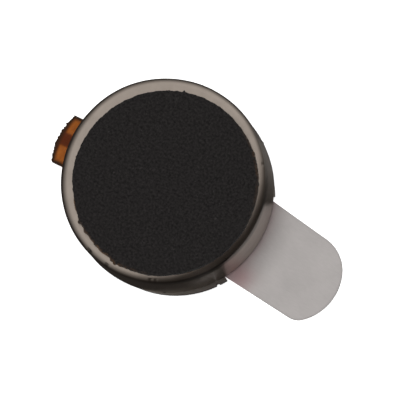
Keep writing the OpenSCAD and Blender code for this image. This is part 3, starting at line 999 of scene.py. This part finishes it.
class MOTOR_OT_case(bpy.types.Operator):
    """Makes the drawn steel case: a cup with a rounded top edge, a slot for the flex and a trimmed lip"""

    bl_idname = "motor.case"
    bl_label = "Case"

    def execute(self, context):
        case = context.scene.motor_case
        flex = context.scene.motor_flex
        radius, wall, edge, drop = case.radius, case.wall, case.edge, case.edge_drop
        inside, top, lip = radius - wall, CASE_HIGH.z, CASE_LOW.z
        ceiling, inner_edge, soft = top - wall, edge - wall, 0.025 * MM

        # The profile runs under the ceiling, down the inner wall, round the lip and up the outside, and
        # the top edge is a quarter of an ellipse
        crown = bend((0, 0), 1, 0, 90, 22) * (edge, drop) + (radius - edge, top - drop)
        stretches = [
            straight((0.3 * MM, ceiling), (inside - inner_edge, ceiling), 10),
            bend((inside - inner_edge, ceiling - inner_edge), inner_edge, 90, 0, 6),
            straight((inside, ceiling - inner_edge), (inside, lip + soft), 12),
            bend((inside + soft, lip + soft), soft, 180, 270, 4),
            straight((inside + soft, lip), (radius - soft, lip), 3),
            bend((radius - soft, lip + soft), soft, 270, 360, 4),
            straight((radius, lip + soft), (radius, top - drop), 26),
            crown,
            straight((radius - edge, top), (0.3 * MM, top), 26),
        ]
        profile = np.concatenate(stretches)

        # Extra columns stand at both sides of the slot, so that its sides are upright, and at the scratch
        slot_half = math.asin((flex.width / 2 + 0.03 * MM) / radius)
        sides = np.array([-slot_half - 1e-4, -slot_half + 1e-4, slot_half - 1e-4, slot_half + 1e-4])
        scratch_at = math.radians(SCRATCH_AT)
        near_scratch = scratch_at + np.radians(np.linspace(-3, 3, 80))
        even = np.arange(540) * FULL_TURN / 540
        even = even[np.abs(even - scratch_at) > math.radians(3.05)]
        angles = np.sort(np.concatenate([even, near_scratch, (sides + flex.angle) % FULL_TURN]))
        rings = lathe(profile, angles)

        # The lip rises over the slot, less and less up the wall
        off = np.abs((angles - flex.angle + np.pi) % FULL_TURN - np.pi)
        in_slot = (off < slot_half)[None, :]
        share = np.clip((top - drop - profile[:, 1]) / (top - drop - lip), 0, 1)[:, None]
        share = np.where(profile[:, :1] > inside - 1e-6, share, 0)
        rings[..., 2] += case.notch_height * share * in_slot

        # Faint waves run round the wall, and it flares at its trimmed lip
        around_wall = angles[None, :]
        height, out = profile[:, 1, None], profile[:, :1]
        outside = out > inside + soft
        grow = 0.0016 * MM * ripple(lathe(np.array([[radius, 0.0]]), angles), 0.5 * MM, 3 * MM, 11)
        grow = grow + 0.012 * MM * bell(height, lip, 0.07 * MM)
        grow = np.where(outside & (height < top - 1e-6), grow, 0)

        # It leans in by its draft and stands a little out of round, both more towards the top
        lean = np.clip((height - lip) / (top - lip), 0, 1) * (out > inside - edge)
        bulge = case.bulge * bell(around_wall, math.radians(BULGE_AT), 0.45)
        grow = grow + lean * (bulge - case.draft)

        # The rim has small dings, which sink it inwards and downwards
        ding = np.zeros((len(profile), len(angles)))
        for direction, width, depth in RIM_DINGS:
            ding = ding + depth * spot_at(around_wall, direction, width)
        ding = ding * bell(height, top - 0.1 * MM, 0.3 * MM) * bell(out, radius - 0.1 * MM, 0.2 * MM)
        scale = 1 + grow / np.maximum(out, 1e-6) - 0.028 * MM * ding * outside / radius
        rings[..., 0] *= scale
        rings[..., 1] *= scale
        rings[..., 2] -= 0.03 * MM * ding * outside

        poles = np.array([[0, 0, ceiling], [0, 0, top]])
        piece = ring_object("case_shell", rings, poles)
        self.wear(piece, rings, around_wall, height, out, outside, case)
        nickel = plated_metal("satin_nickel", case.colour, 0.31, 0.17, 0.0016 * MM, 0.0008 * MM)
        finish_piece(piece, nickel, "stator", "nickel_case", "case_cover")
        return {"FINISHED"}

    def wear(self, piece, rings, around_wall, height, out, outside, case):
        """Notes on the shell where it is scratched, where painted sheen and scuffing lighten it, and where
        painted shade and smudges darken it.
        """
        top, lip = CASE_HIGH.z, CASE_LOW.z

        # A fine scratch climbs the wall in a line beside the pull tab, and the wall about it is lightened,
        # partly by scuffing and partly by painted sheen. A patch of painted sheen, a lighter reflection,
        # lies past the tab's other side
        line = math.radians(SCRATCH_AT - 1.3) + 0.0145 * (height - lip) / MM
        scratch = bell(around_wall, line, 0.0045) * (height < lip + 2.2 * MM)
        scuff_and_sheen = bell(around_wall, math.radians(SCUFF_AND_SHEEN_AT), 0.16) * bell(height, lip + 1.7 * MM, 0.9 * MM)
        scuff_and_sheen = scuff_and_sheen * (1 + 0.12 * ripple(rings, 0.3 * MM, 1.2 * MM, 12))
        sheen_patch = bell(around_wall, math.radians(SHEEN_PATCH_AT), 0.34) * (height < top - case.edge_drop / 2)
        # Lighter where scratched, and where a painted sheen stands in for a brighter reflection, partly
        # scuffing
        scratch_and_sheen_mask = np.maximum(0.42 * scratch, 0.17 * scuff_and_sheen + 0.26 * sheen_patch) * outside
        store(piece, "scratch", scratch_and_sheen_mask)

        # Painted shade darkens the top of the wall towards the pull tab, a painted shadow line of the
        # foam's edge lies beside the foam there, and dark smudges sit in the rim's nicks
        # Painted shade: the wall top is darker on the side towards the pull tab
        toward_tab = np.clip(np.cos(around_wall - math.radians(SHADE_BAND_AT)), 0, 1) ** 2
        band = np.clip((top - 0.16 * MM - height) / (0.08 * MM), 0, 1)
        band = band * np.clip((height - top + 0.85 * MM) / (0.3 * MM), 0, 1)
        # Painted shadow of the foam's edge on the case top
        foam_shadow_line = 0.85 * bell(out, FOAM_SHADOW_AT, 0.05 * MM) * (height > top - 0.1 * MM)
        shade_and_dirt_mask = toward_tab * np.maximum(band, foam_shadow_line)
        for direction, width, reach, dark in RIM_DIRT:
            spot = spot_at(around_wall, direction, width)
            spot = spot * bell(out, reach * MM, 0.06 * MM) * bell(height, top - 0.15 * MM, 0.2 * MM)
            shade_and_dirt_mask = np.maximum(shade_and_dirt_mask, dark * spot)
        # Stored darkness: painted shade on the wall top and beside the foam, and dark smudges at the nicks
        store(piece, "shade_and_dirt", shade_and_dirt_mask * outside)


class MOTOR_OT_plate(bpy.types.Operator):
    """Finishes the base plate and the weld beads that hold the case to it"""

    bl_idname = "motor.plate"
    bl_label = "Base plate and welds"

    def execute(self, context):
        case = context.scene.motor_case
        plate = plated_metal("plate_nickel", case.plate_colour, 0.34, 0.12, 0.0015 * MM, 0.001 * MM)
        bead = plated_metal("weld_bead", (0.30, 0.27, 0.25), 0.42, 0.25, 0.001 * MM, 0.003 * MM)
        dress("base_plate", plate)
        dress("case_welds", bead)
        return {"FINISHED"}


class MOTOR_OT_foam(bpy.types.Operator):
    """Makes the foam pad, its cut edge frayed and torn at one side, and the adhesive film under it"""

    bl_idname = "motor.foam"
    bl_label = "Foam pad"

    def execute(self, context):
        foam = context.scene.motor_foam
        centre = (FOAM_LOW + FOAM_HIGH) / 2
        radius = (FOAM_HIGH.x - FOAM_LOW.x) / 2
        low, high, soft = FOAM_LOW.z, FOAM_HIGH.z, foam.edge
        profile = np.concatenate([
            straight((0.1 * MM, low), (radius - 0.02 * MM, low), 20),
            straight((radius, low), (radius, high - soft), 8),
            bend((radius - soft, high - soft), soft, 0, 90, 6),
            straight((radius - soft, high), (0.04 * MM, high), 96),
        ])
        angles = np.arange(720) * FULL_TURN / 720
        rings = lathe(profile, angles)

        # The cut edge wanders. One stretch is torn back, the next stands proud, and shreds stand out
        reach = profile[:, :1] / radius
        edge_share = np.clip((reach - 0.93) / 0.07, 0, 1) ** 2
        back = stretch_at(angles, TEAR_AT, TEAR_WIDTH, 60)
        proud = stretch_at(angles, PROUD_AT, PROUD_WIDTH, 40)
        swell = bell(angles, math.radians(SWELL_AT), 0.3)
        tear = 0.055 * MM * back - 0.03 * MM * proud - 0.035 * MM * swell
        for direction, width, depth in FOAM_SHREDS:
            tear = tear + depth * MM * spot_at(angles, direction, width)
        fray = foam.fray * ripple(rings, 0.10 * MM, 0.5 * MM, 21)
        fray = fray + 0.5 * foam.fray * ripple(rings, 1.0 * MM, 4.0 * MM, 22)
        fray = fray + 1.6 * foam.fray * back * ripple(rings, 0.12 * MM, 0.5 * MM, 26)
        pull = edge_share * (fray - tear[None, :])
        scale = 1 + pull / np.maximum(profile[:, :1], 1e-6)
        rings[..., 0] *= scale
        rings[..., 1] *= scale

        # The skin is finely uneven, and lifts and sinks a little over the whole pad
        on_top = (profile[:, 1:2] > high - soft) * 1.0
        skin = foam.grain * ripple(rings, 0.12 * MM, 0.4 * MM, 23, 64)
        skin = skin + 1.6 * foam.grain * ripple(rings, 1.2 * MM, 4.0 * MM, 24, 24)
        sink = 2.5 * foam.grain
        rings[..., 2] += on_top * (skin - sink)
        rings[..., 0] += centre.x
        rings[..., 1] += centre.y
        poles = np.array([[centre.x, centre.y, low], [centre.x, centre.y, high - sink]])
        piece = ring_object("foam_disc", rings, poles)

        # Brown adhesive shows along the tear and a stretch across from it, and painted shade blackens the
        # cut side
        near_tear = spot_at(angles, BROWN_AT, BROWN_WIDTH) + 0.5 * bell(angles, 0.75, 0.4)
        ragged = np.clip((reach - 0.975) / 0.025, 0, 1) * near_tear[None, :]
        ragged = ragged * np.clip(0.55 + 0.5 * ripple(rings, 0.1 * MM, 0.5 * MM, 25), 0, 1)
        store(piece, "torn", ragged)
        side = np.clip((high - 0.005 * MM - profile[:, 1:2]) / (0.03 * MM), 0, 1) * np.ones_like(ragged)
        store(piece, "side", side)
        finish_piece(piece, foam_skin(foam.colour, foam.film_colour), "stator", "foam", "foam_pad")

        self.film(foam, centre)
        return {"FINISHED"}

    def film(self, foam, centre):
        """The adhesive film: a thin disc that ends close to the pad's edge, with an uneven edge."""
        radius = (FILM_HIGH.x - FILM_LOW.x) / 2 + 0.075 * MM
        waves = (0.3 * MM, 1.5 * MM, 31)
        piece = wavy_disc("adhesive_film", radius, 0.004, waves, FILM_LOW.z, FILM_HIGH.z, 0.01 * MM,
                          centre.to_2d())
        look = plastic_film("pad_adhesive_film", foam.film_colour, 0.4, 0.5, 0.2, 0.15 * MM, 0.004 * MM)
        finish_piece(piece, look, "stator", "pad_film", "pad_adhesive")


class MOTOR_OT_liner(bpy.types.Operator):
    """Makes the release liner, a round sheet with a slightly curled pull tab, and the tape over it"""

    bl_idname = "motor.liner"
    bl_label = "Release liner and tape"

    def execute(self, context):
        liner = context.scene.motor_liner
        tip, round_r = LINER_HIGH.x, (LINER_HIGH.y - LINER_LOW.y) / 2
        end_r, end_y = liner.end_radius, liner.end_shift
        end_x = tip - end_r
        degrees = math.degrees

        # The low corner lies inside the end's arc and touches the straight side
        low_r = liner.low_radius
        low_y = low_r - liner.low_side
        low_x = end_x + math.sqrt((end_r - low_r) ** 2 - (low_y - end_y) ** 2)
        low_turn = degrees(math.atan2(low_y - end_y, low_x - end_x))

        # The high corner does the same on the leaning side, measured off and along that side
        high_r, lean = liner.high_radius, liner.lean
        off, along = Vector((math.sin(lean), math.cos(lean))), Vector((math.cos(lean), -math.sin(lean)))
        side = off.dot(Vector((WALL_AT, liner.high_side)))
        end = Vector((end_x, end_y))
        rise = side - high_r - off.dot(end)
        high = end + off * rise + along * math.sqrt((end_r - high_r) ** 2 - rise ** 2)
        high_turn = degrees(math.atan2(high.y - end_y, high.x - end_x))

        low_neck = math.asin(-liner.low_side / round_r)
        high_neck = math.asin(side / round_r) - lean
        low_start = (round_r * math.cos(low_neck), -liner.low_side)
        high_start = (round_r * math.cos(high_neck), round_r * math.sin(high_neck))
        outline = np.concatenate([
            straight(low_start, (low_x, -liner.low_side), 20),
            bend((low_x, low_y), low_r, -90, low_turn, 16),
            bend((end_x, end_y), end_r, low_turn, high_turn, 48),
            bend(high, high_r, high_turn, 90 - degrees(lean), 24),
            straight(high + off * high_r, high_start, 20),
            bend((0, 0), round_r, degrees(high_neck), 360 + degrees(low_neck), 150),
        ])
        outline = resample(outline, 640)
        thick = LINER_HIGH.z - LINER_LOW.z
        rings, poles = sheet_rings(outline, LINER_LOW.z, LINER_HIGH.z - 0.01 * thick, 0.02 * MM, 60)

        # The tab curls up towards its tip, a little more at one corner
        start = WALL_AT + 0.2 * MM
        along = np.clip((rings[..., 0] - start) / (tip - start), 0, 1)
        across = rings[..., 1] / liner.low_side
        rings[..., 2] += liner.lift * along ** 2 * (1 + 0.35 * across)
        wave = 0.008 * MM * ripple(rings, 1.5 * MM, 4 * MM, 41)
        rings[..., 2] += np.abs(wave) * along
        piece = ring_object("liner_sheet", rings, poles)

        flat = rings.reshape(-1, 3)
        margin = np.clip(edge_distance(flat, outline) / MM, 0, 1)
        store(piece, "margin", margin, 1)

        # A pinkish, darker spot at the tab's low side is partly stain and partly painted shade, and painted
        # contact shade darkens the paper faintly along the wall
        spot = bell(flat[:, 0], WALL_AT + 0.1 * MM, 0.65 * MM) * bell(flat[:, 1], -1.75 * MM, 0.7 * MM)
        from_case = np.linalg.norm(flat[:, :2], axis=1) - WALL_AT
        # Painted contact shadow: the paper darkens close round the wall
        wall_contact_shade = 0.38 * np.exp(-np.abs(from_case) / (0.2 * MM))
        stain_and_shade = 1 - (1 - 0.62 * spot) * (1 - wall_contact_shade)
        store(piece, "stain_and_shade", stain_and_shade)
        finish_piece(piece, release_paper(liner.colour), "release_liner", "liner_paper", "release_liner")

        radius = (TAPE_HIGH.y - TAPE_LOW.y) / 2
        waves = (0.4 * MM, 2 * MM, 42)
        piece = wavy_disc("tape_disc", radius, 0.002, waves, TAPE_LOW.z, TAPE_HIGH.z, 0.015 * MM)
        look = plastic_film("tape_film", (0.55, 0.53, 0.50), 0.12, 0.45, 0.1, 0.3 * MM, 0.003 * MM)
        finish_piece(piece, look, "stator", "tape", "adhesive_tape")
        return {"FINISHED"}


class MOTOR_OT_flex(bpy.types.Operator):
    """Makes the flex board and its cover film, and finishes the two lands between them"""

    bl_idname = "motor.flex"
    bl_label = "Flex board"

    def execute(self, context):
        flex = context.scene.motor_flex
        half, reach, bow = flex.width / 2, flex.reach, flex.bow
        swing = math.degrees(math.asin(half / bow))
        far = reach - bow + bow * math.cos(math.radians(swing))
        eye_r, boss_r = 1.9 * MM, 0.83 * MM
        join = math.degrees(math.asin(half / eye_r))
        join_x = eye_r * math.cos(math.radians(join))
        board = resample(np.concatenate([
            straight((join_x, -half), (far, -half), 30),
            bend((reach - bow, 0), bow, -swing, swing, 40),
            straight((far, half), (join_x, half), 30),
            bend((0, 0), eye_r, join, 360 - join, 60),
        ]), 420)
        rings, _ = sheet_rings(board, FLEX_LOW.z, FLEX_HIGH.z, 0.015 * MM, 24, boss_r)
        film = self.place("flex_film", rings, None, board, flex, None)
        finish_piece(film, amber_film("amber_board", flex.film_colour, flex.land_colour),
                     "stator", "polyimide", "flex_board")

        start = (MAGNET_HIGH.y - MAGNET_LOW.y) / 2 + 0.06 * MM
        middle = (start + far) / 2
        cover = resample(np.concatenate([
            straight((start - middle, -half), (far - middle, -half), 30),
            bend((reach - bow - middle, 0), bow, -swing, swing, 60),
            straight((far - middle, half), (start - middle, half), 30),
            straight((start - middle, half), (start - middle, -half), 20),
        ]), 420)
        rings, poles = sheet_rings(cover, COVER_LOW.z, COVER_HIGH.z, 0.015 * MM, 40)
        rings[..., 0] += middle
        poles[:, 0] += middle
        cover = cover + np.array([middle, 0])
        film = self.place("flex_cover", rings, poles, cover, flex, COVER_HIGH.z)
        finish_piece(film, amber_film("amber_cover", flex.film_colour, flex.land_colour),
                     "stator", "coverlay", "flex_coverlay")

        gold = plated_metal("gilt_copper", (0.78, 0.50, 0.20), 0.28, 0.12, 0.001 * MM, 0.001 * MM)
        dress("positive_land", gold)
        dress("negative_land", gold)
        return {"FINISHED"}

    def place(self, name, rings, poles, outline, flex, top):
        """Roughens the cut edge, notes where the lands lie, lifts the top over them and turns the film to
        its own direction. A land is a box with soft sides, 1 inside and 0 outside: a logistic step of the
        distance past its side along x, times the same along y."""
        flat = rings.reshape(-1, 3)
        if poles is not None:
            flat = np.concatenate([flat, poles])
        margin = edge_distance(flat, outline) / MM
        land_x, land_half_x, pitch, land_half_y = flex.reach - 0.61 * MM, 0.36 * MM, 1.5 * MM, 0.42 * MM
        soft = 0.10 * MM
        land = np.zeros(len(flat))
        for side in (-1, 1):
            in_x = 1 / (1 + np.exp((np.abs(flat[:, 0] - land_x) - land_half_x) / soft * 4))
            in_y = 1 / (1 + np.exp((np.abs(flat[:, 1] - side * pitch / 2) - land_half_y) / soft * 4))
            land = np.maximum(land, in_x * in_y * (0.9 + 0.1 * side))
        rough = 0.024 * MM * ripple(flat, 0.09 * MM, 0.3 * MM, 51)
        cut = np.clip(1 - margin / 0.1, 0, 1) * (flat[:, 0] > WALL_AT + 0.1 * MM)
        flat = flat.copy()
        flat[:, 0] += rough * cut
        flat[:, 2] += 0.02 * MM * land * (0 if top is None else flat[:, 2] > top - 0.02 * MM)
        flat[:, :2] = turned(flat[:, :2], flex.angle)
        count = rings.shape[0] * rings.shape[1]
        shaped = flat[:count].reshape(rings.shape)
        piece = ring_object(name, shaped, flat[count:] if poles is not None else None)
        store(piece, "margin", np.clip(margin, 0, 1))
        store(piece, "land", land)
        return piece


class MOTOR_OT_inside(bpy.types.Operator):
    """Finishes the pieces inside the case: shaft, magnet, brushes, washers and the whole rotor"""

    bl_idname = "motor.inside"
    bl_label = "Inside pieces"

    def execute(self, context):
        fine, coarse, grain = 0.001 * MM, 0.003 * MM, 0.2 * MM
        metals = (  # name, colour, roughness, stain, streak, grain, and the nodes it goes on
            ("ground_steel", (0.60, 0.60, 0.61), 0.16, 0.05, fine, fine / 2, ["shaft"]),
            ("magnet_nickel", (0.34, 0.34, 0.35), 0.40, 0.15, fine, coarse, ["ring_magnet"]),
            ("sintered_tungsten", (0.33, 0.33, 0.34), 0.50, 0.20, fine, coarse, ["counterweight"]),
            ("phosphor_bronze", (0.66, 0.40, 0.20), 0.25, 0.12, fine, fine,
             ["positive_brush", "negative_brush"]),
            ("sintered_bronze", (0.56, 0.40, 0.20), 0.45, 0.20, fine, coarse, ["bearing_sleeve"]),
            ("commutator_gold", (0.80, 0.53, 0.24), 0.22, 0.10, fine, fine, ["commutator_segments"]),
            ("tin_solder", (0.62, 0.62, 0.62), 0.30, 0.15, fine, coarse, ["brush_solder", "coil_solder"]),
        )
        for *make_up, dressed in metals:
            material = plated_metal(*make_up)
            for node in dressed:
                dress(node, material)
        plastics = (  # name, colour, flecks, roughness, coat, fleck size, relief, and the nodes
            ("cured_glue", (0.45, 0.38, 0.20), 0.2, 0.35, 0.3, grain, coarse, ["magnet_adhesive"]),
            ("washer_film", (0.78, 0.76, 0.68), 0.08, 0.40, 0.1, grain, fine,
             ["lower_thrust_washer", "upper_thrust_washer"]),
            ("solder_mask", (0.03, 0.16, 0.07), 0.25, 0.30, 0.4, grain, coarse, ["rotor_board"]),
            ("moulded_resin", (0.035, 0.035, 0.04), 0.3, 0.50, 0.0, grain, coarse, ["rotor_moulding"]),
        )
        for *make_up, dressed in plastics:
            material = plastic_film(*make_up)
            for node in dressed:
                dress(node, material)
        for name, (low, high) in COIL_BOXES.items():
            dress(name, wound_wire(f"{name}_wire", (low + high) / 2))
        return {"FINISHED"}


# ---- Stage ----


class MOTOR_OT_stage(bpy.types.Operator):
    """Makes the pale floor, the soft studio light and the camera"""

    bl_idname = "motor.stage"
    bl_label = "Stage"

    def execute(self, context):
        stage = context.scene.motor_stage
        self.floor(stage)
        self.sky(context, stage)
        self.softbox("overhead_softbox", (-0.022, 0.004, 0.30), 0.20, stage.softbox_power)
        self.camera(context, stage)
        context.scene.view_settings.view_transform = "Standard"
        return {"FINISHED"}

    def floor(self, stage):
        """A plain pale light table just under the liner. It doesn't show in mirrors, as on a dark bench."""
        side = stage.floor_size / 2
        drop = -0.01 * MM
        corners = np.array([[x * side, y * side, drop] for x, y in ((-1, -1), (1, -1), (1, 1), (-1, 1))])
        floor = new_object("floor", corners, np.array([[0, 1, 2, 3]]), np.zeros((0, 3), int))
        floor.visible_glossy = False
        material = bpy.data.materials.new("floor_paint")
        material.use_nodes = True
        nodes, links = material.node_tree.nodes, material.node_tree.links
        nodes.clear()
        matt = nodes.new("ShaderNodeBsdfDiffuse")
        matt.label = "Pale matt floor"
        matt.location = (0, 100)
        matt.inputs["Color"].default_value = (*stage.floor_colour, 1)
        glow = nodes.new("ShaderNodeEmission")
        glow.label = "Light table glow"
        glow.location = (0, -100)
        glow.inputs["Color"].default_value = (*stage.floor_colour, 1)
        glow.inputs["Strength"].default_value = stage.floor_glow
        both = nodes.new("ShaderNodeAddShader")
        both.label = "Paint and glow"
        both.location = (250, 0)
        surface = nodes.new("ShaderNodeOutputMaterial")
        surface.label = "Floor out"
        surface.location = (500, 0)
        links.new(matt.outputs["BSDF"], both.inputs[0])
        links.new(glow.outputs["Emission"], both.inputs[1])
        links.new(both.outputs["Shader"], surface.inputs["Surface"])
        floor.data.materials.append(material)

    def sky(self, context, stage):
        """Even soft light from all round. Metal mirrors a studio instead, with panels overhead and along
        both sides, and a dark side towards the pull tab. Its brightness is a ramp of z + 0.45 |y| + 0.15 y
        of the direction, times a ramp of the cosine of the level angle to the dark side."""
        world = bpy.data.worlds.new("studio")
        world.use_nodes = True
        context.scene.world = world
        nodes, links = world.node_tree.nodes, world.node_tree.links
        nodes.clear()
        place = nodes.new("ShaderNodeTexCoord")
        place.label = "Direction"
        split = nodes.new("ShaderNodeSeparateXYZ")
        split.label = "Parts of the direction"
        sideways = nodes.new("ShaderNodeMath")
        sideways.label = "Either side"
        sideways.operation = "ABSOLUTE"
        tilt = nodes.new("ShaderNodeMath")
        tilt.label = "One side a little brighter"
        tilt.operation = "MULTIPLY_ADD"
        tilt.inputs[1].default_value = 0.15
        panel = nodes.new("ShaderNodeMath")
        panel.label = "Overhead and side panels"
        panel.operation = "MULTIPLY_ADD"
        panel.inputs[1].default_value = 0.45
        tones = nodes.new("ShaderNodeValToRGB")
        tones.label = "Panel brightness"
        tones.color_ramp.elements[0].position = 0.0
        tones.color_ramp.elements[0].color = (0, 0, 0, 1)
        tones.color_ramp.elements[1].position = 1.0
        tones.color_ramp.elements[1].color = (0.84, 0.82, 0.80, 1)
        for height, tone in ((0.2, 0.10), (0.4, 0.24), (0.7, 0.40), (0.85, 0.60), (0.94, 0.78)):
            element = tones.color_ramp.elements.new(height)
            element.color = (tone, tone * 0.98, tone * 0.95, 1)
        flat = nodes.new("ShaderNodeVectorMath")
        flat.label = "Drop the height"
        flat.operation = "MULTIPLY"
        flat.inputs[1].default_value = (1, 1, 0)
        level = nodes.new("ShaderNodeVectorMath")
        level.label = "Level direction"
        level.operation = "NORMALIZE"
        toward = nodes.new("ShaderNodeVectorMath")
        toward.label = "Towards the dark side"
        toward.operation = "DOT_PRODUCT"
        toward.inputs[1].default_value = (math.cos(stage.dark_side), math.sin(stage.dark_side), 0)
        shade = nodes.new("ShaderNodeValToRGB")
        shade.label = "Darken that side"
        shade.color_ramp.elements[0].position = 0.0
        shade.color_ramp.elements[0].color = (0.9, 0.9, 0.9, 1)
        shade.color_ramp.elements[1].position = 0.85
        shade.color_ramp.elements[1].color = (0.03, 0.025, 0.025, 1)
        for turn, tone in ((0.4, 0.50), (0.6, 0.16)):
            element = shade.color_ramp.elements.new(turn)
            element.color = (tone, tone * 0.98, tone * 0.96, 1)
        studio = nodes.new("ShaderNodeMix")
        studio.label = "Studio in mirrors"
        studio.data_type = "RGBA"
        studio.blend_type = "MULTIPLY"
        studio.inputs["Factor"].default_value = 1
        mirror = nodes.new("ShaderNodeBackground")
        mirror.label = "Mirrored studio"
        bench = nodes.new("ShaderNodeBackground")
        bench.label = "Dark bench in mirrors"
        bench.inputs["Color"].default_value = (0.0295, 0.0258, 0.0235, 1)
        whole = nodes.new("ShaderNodeAddShader")
        whole.label = "Studio and bench"
        even = nodes.new("ShaderNodeBackground")
        even.label = "Even soft light"
        even.inputs["Color"].default_value = (1.0, 0.995, 0.985, 1)
        even.inputs["Strength"].default_value = stage.sky
        path = nodes.new("ShaderNodeLightPath")
        path.label = "Is this a mirror ray"
        mix = nodes.new("ShaderNodeMixShader")
        mix.label = "Choose the sky"
        surface = nodes.new("ShaderNodeOutputWorld")
        surface.label = "Sky out"
        for node, x, y in (
            (place, -1300, 0), (split, -1100, 150), (sideways, -900, 300), (tilt, -900, 100),
            (panel, -700, 150), (tones, -500, 150), (flat, -1100, -150), (level, -900, -150),
            (toward, -700, -150), (shade, -500, -150), (studio, -200, 0), (mirror, 0, 0), (bench, 0, -150),
            (whole, 200, -50), (even, 200, 200), (path, 200, 500), (mix, 450, 200), (surface, 700, 200),
        ):
            node.location = (x, y)
        links.new(place.outputs["Generated"], split.inputs["Vector"])
        links.new(split.outputs["Y"], sideways.inputs[0])
        links.new(split.outputs["Y"], tilt.inputs[0])
        links.new(split.outputs["Z"], tilt.inputs[2])
        links.new(sideways.outputs["Value"], panel.inputs[0])
        links.new(tilt.outputs["Value"], panel.inputs[2])
        links.new(panel.outputs["Value"], tones.inputs["Fac"])
        links.new(place.outputs["Generated"], flat.inputs[0])
        links.new(flat.outputs["Vector"], level.inputs[0])
        links.new(level.outputs["Vector"], toward.inputs[0])
        links.new(toward.outputs["Value"], shade.inputs["Fac"])
        links.new(tones.outputs["Color"], studio.inputs["A"])
        links.new(shade.outputs["Color"], studio.inputs["B"])
        links.new(studio.outputs["Result"], mirror.inputs["Color"])
        links.new(mirror.outputs["Background"], whole.inputs[0])
        links.new(bench.outputs["Background"], whole.inputs[1])
        links.new(path.outputs["Is Glossy Ray"], mix.inputs["Fac"])
        links.new(even.outputs["Background"], mix.inputs[1])
        links.new(whole.outputs["Shader"], mix.inputs[2])
        links.new(mix.outputs["Shader"], surface.inputs["Surface"])

    def softbox(self, name, place, size, power):
        """A square area light that faces the motor and stays out of mirrors."""
        light = bpy.data.lights.new(name, "AREA")
        light.energy = power
        light.size = size
        lamp = bpy.data.objects.new(name, light)
        lamp.visible_glossy = False
        lamp.location = place
        lamp.rotation_euler = (-Vector(place)).to_track_quat("-Z", "Y").to_euler()
        bpy.context.scene.collection.objects.link(lamp)

    def camera(self, context, stage):
        """Stands back from the aim along azimuth and elevation, turned about its view by the roll."""
        a, e = stage.azimuth, stage.elevation
        back = Vector((math.sin(a) * math.cos(e), -math.cos(a) * math.cos(e), math.sin(e)))
        data = bpy.data.cameras.new("camera")
        data.lens = stage.lens
        data.sensor_width = 36
        data.clip_start = 1 * MM
        data.clip_end = 10
        camera = bpy.data.objects.new("camera", data)
        upright = (-back).to_track_quat("-Z", "Y").to_matrix()
        turn = Matrix.Rotation(-stage.roll, 3, "Z")
        stand = Matrix.Translation(Vector(stage.aim) + back * stage.distance)
        camera.matrix_world = stand @ (upright @ turn).to_4x4()
        context.scene.collection.objects.link(camera)
        context.scene.camera = camera


class MOTOR_PT_panel(bpy.types.Panel):
    """Lists the motor's settings and the operators that build it"""

    bl_idname = "MOTOR_PT_panel"
    bl_label = "Coin vibration motor"
    bl_space_type = "VIEW_3D"
    bl_region_type = "UI"
    bl_category = "Motor"

    def draw(self, context):
        layout = self.layout
        for group, label in SETTINGS:
            box = layout.box()
            box.label(text=label)
            settings = getattr(context.scene, group)
            for field in settings.__annotations__:
                box.prop(settings, field)
        for operator in OPERATORS:
            layout.operator(operator.bl_idname)


OPERATORS = (
    MOTOR_OT_case, MOTOR_OT_plate, MOTOR_OT_foam, MOTOR_OT_liner, MOTOR_OT_flex, MOTOR_OT_inside,
    MOTOR_OT_stage,
)
SETTINGS = (
    ("motor_case", "Case"), ("motor_foam", "Foam pad"), ("motor_liner", "Release liner"),
    ("motor_flex", "Flex tab"), ("motor_stage", "Stage"),
)
GROUPS = (MOTOR_PG_case, MOTOR_PG_foam, MOTOR_PG_liner, MOTOR_PG_flex, MOTOR_PG_stage)


def register():
    for each in (*GROUPS, *OPERATORS, MOTOR_PT_panel):
        bpy.utils.register_class(each)
    for (name, _), group in zip(SETTINGS, GROUPS):
        setattr(bpy.types.Scene, name, bpy.props.PointerProperty(type=group))


def unregister():
    for name, _ in SETTINGS:
        delattr(bpy.types.Scene, name)
    for each in reversed((*GROUPS, *OPERATORS, MOTOR_PT_panel)):
        bpy.utils.unregister_class(each)


def main():
    register()
    bpy.ops.motor.case()
    bpy.ops.motor.plate()
    bpy.ops.motor.foam()
    bpy.ops.motor.liner()
    bpy.ops.motor.flex()
    bpy.ops.motor.inside()
    bpy.ops.motor.stage()


if __name__ == "__main__":
    main()
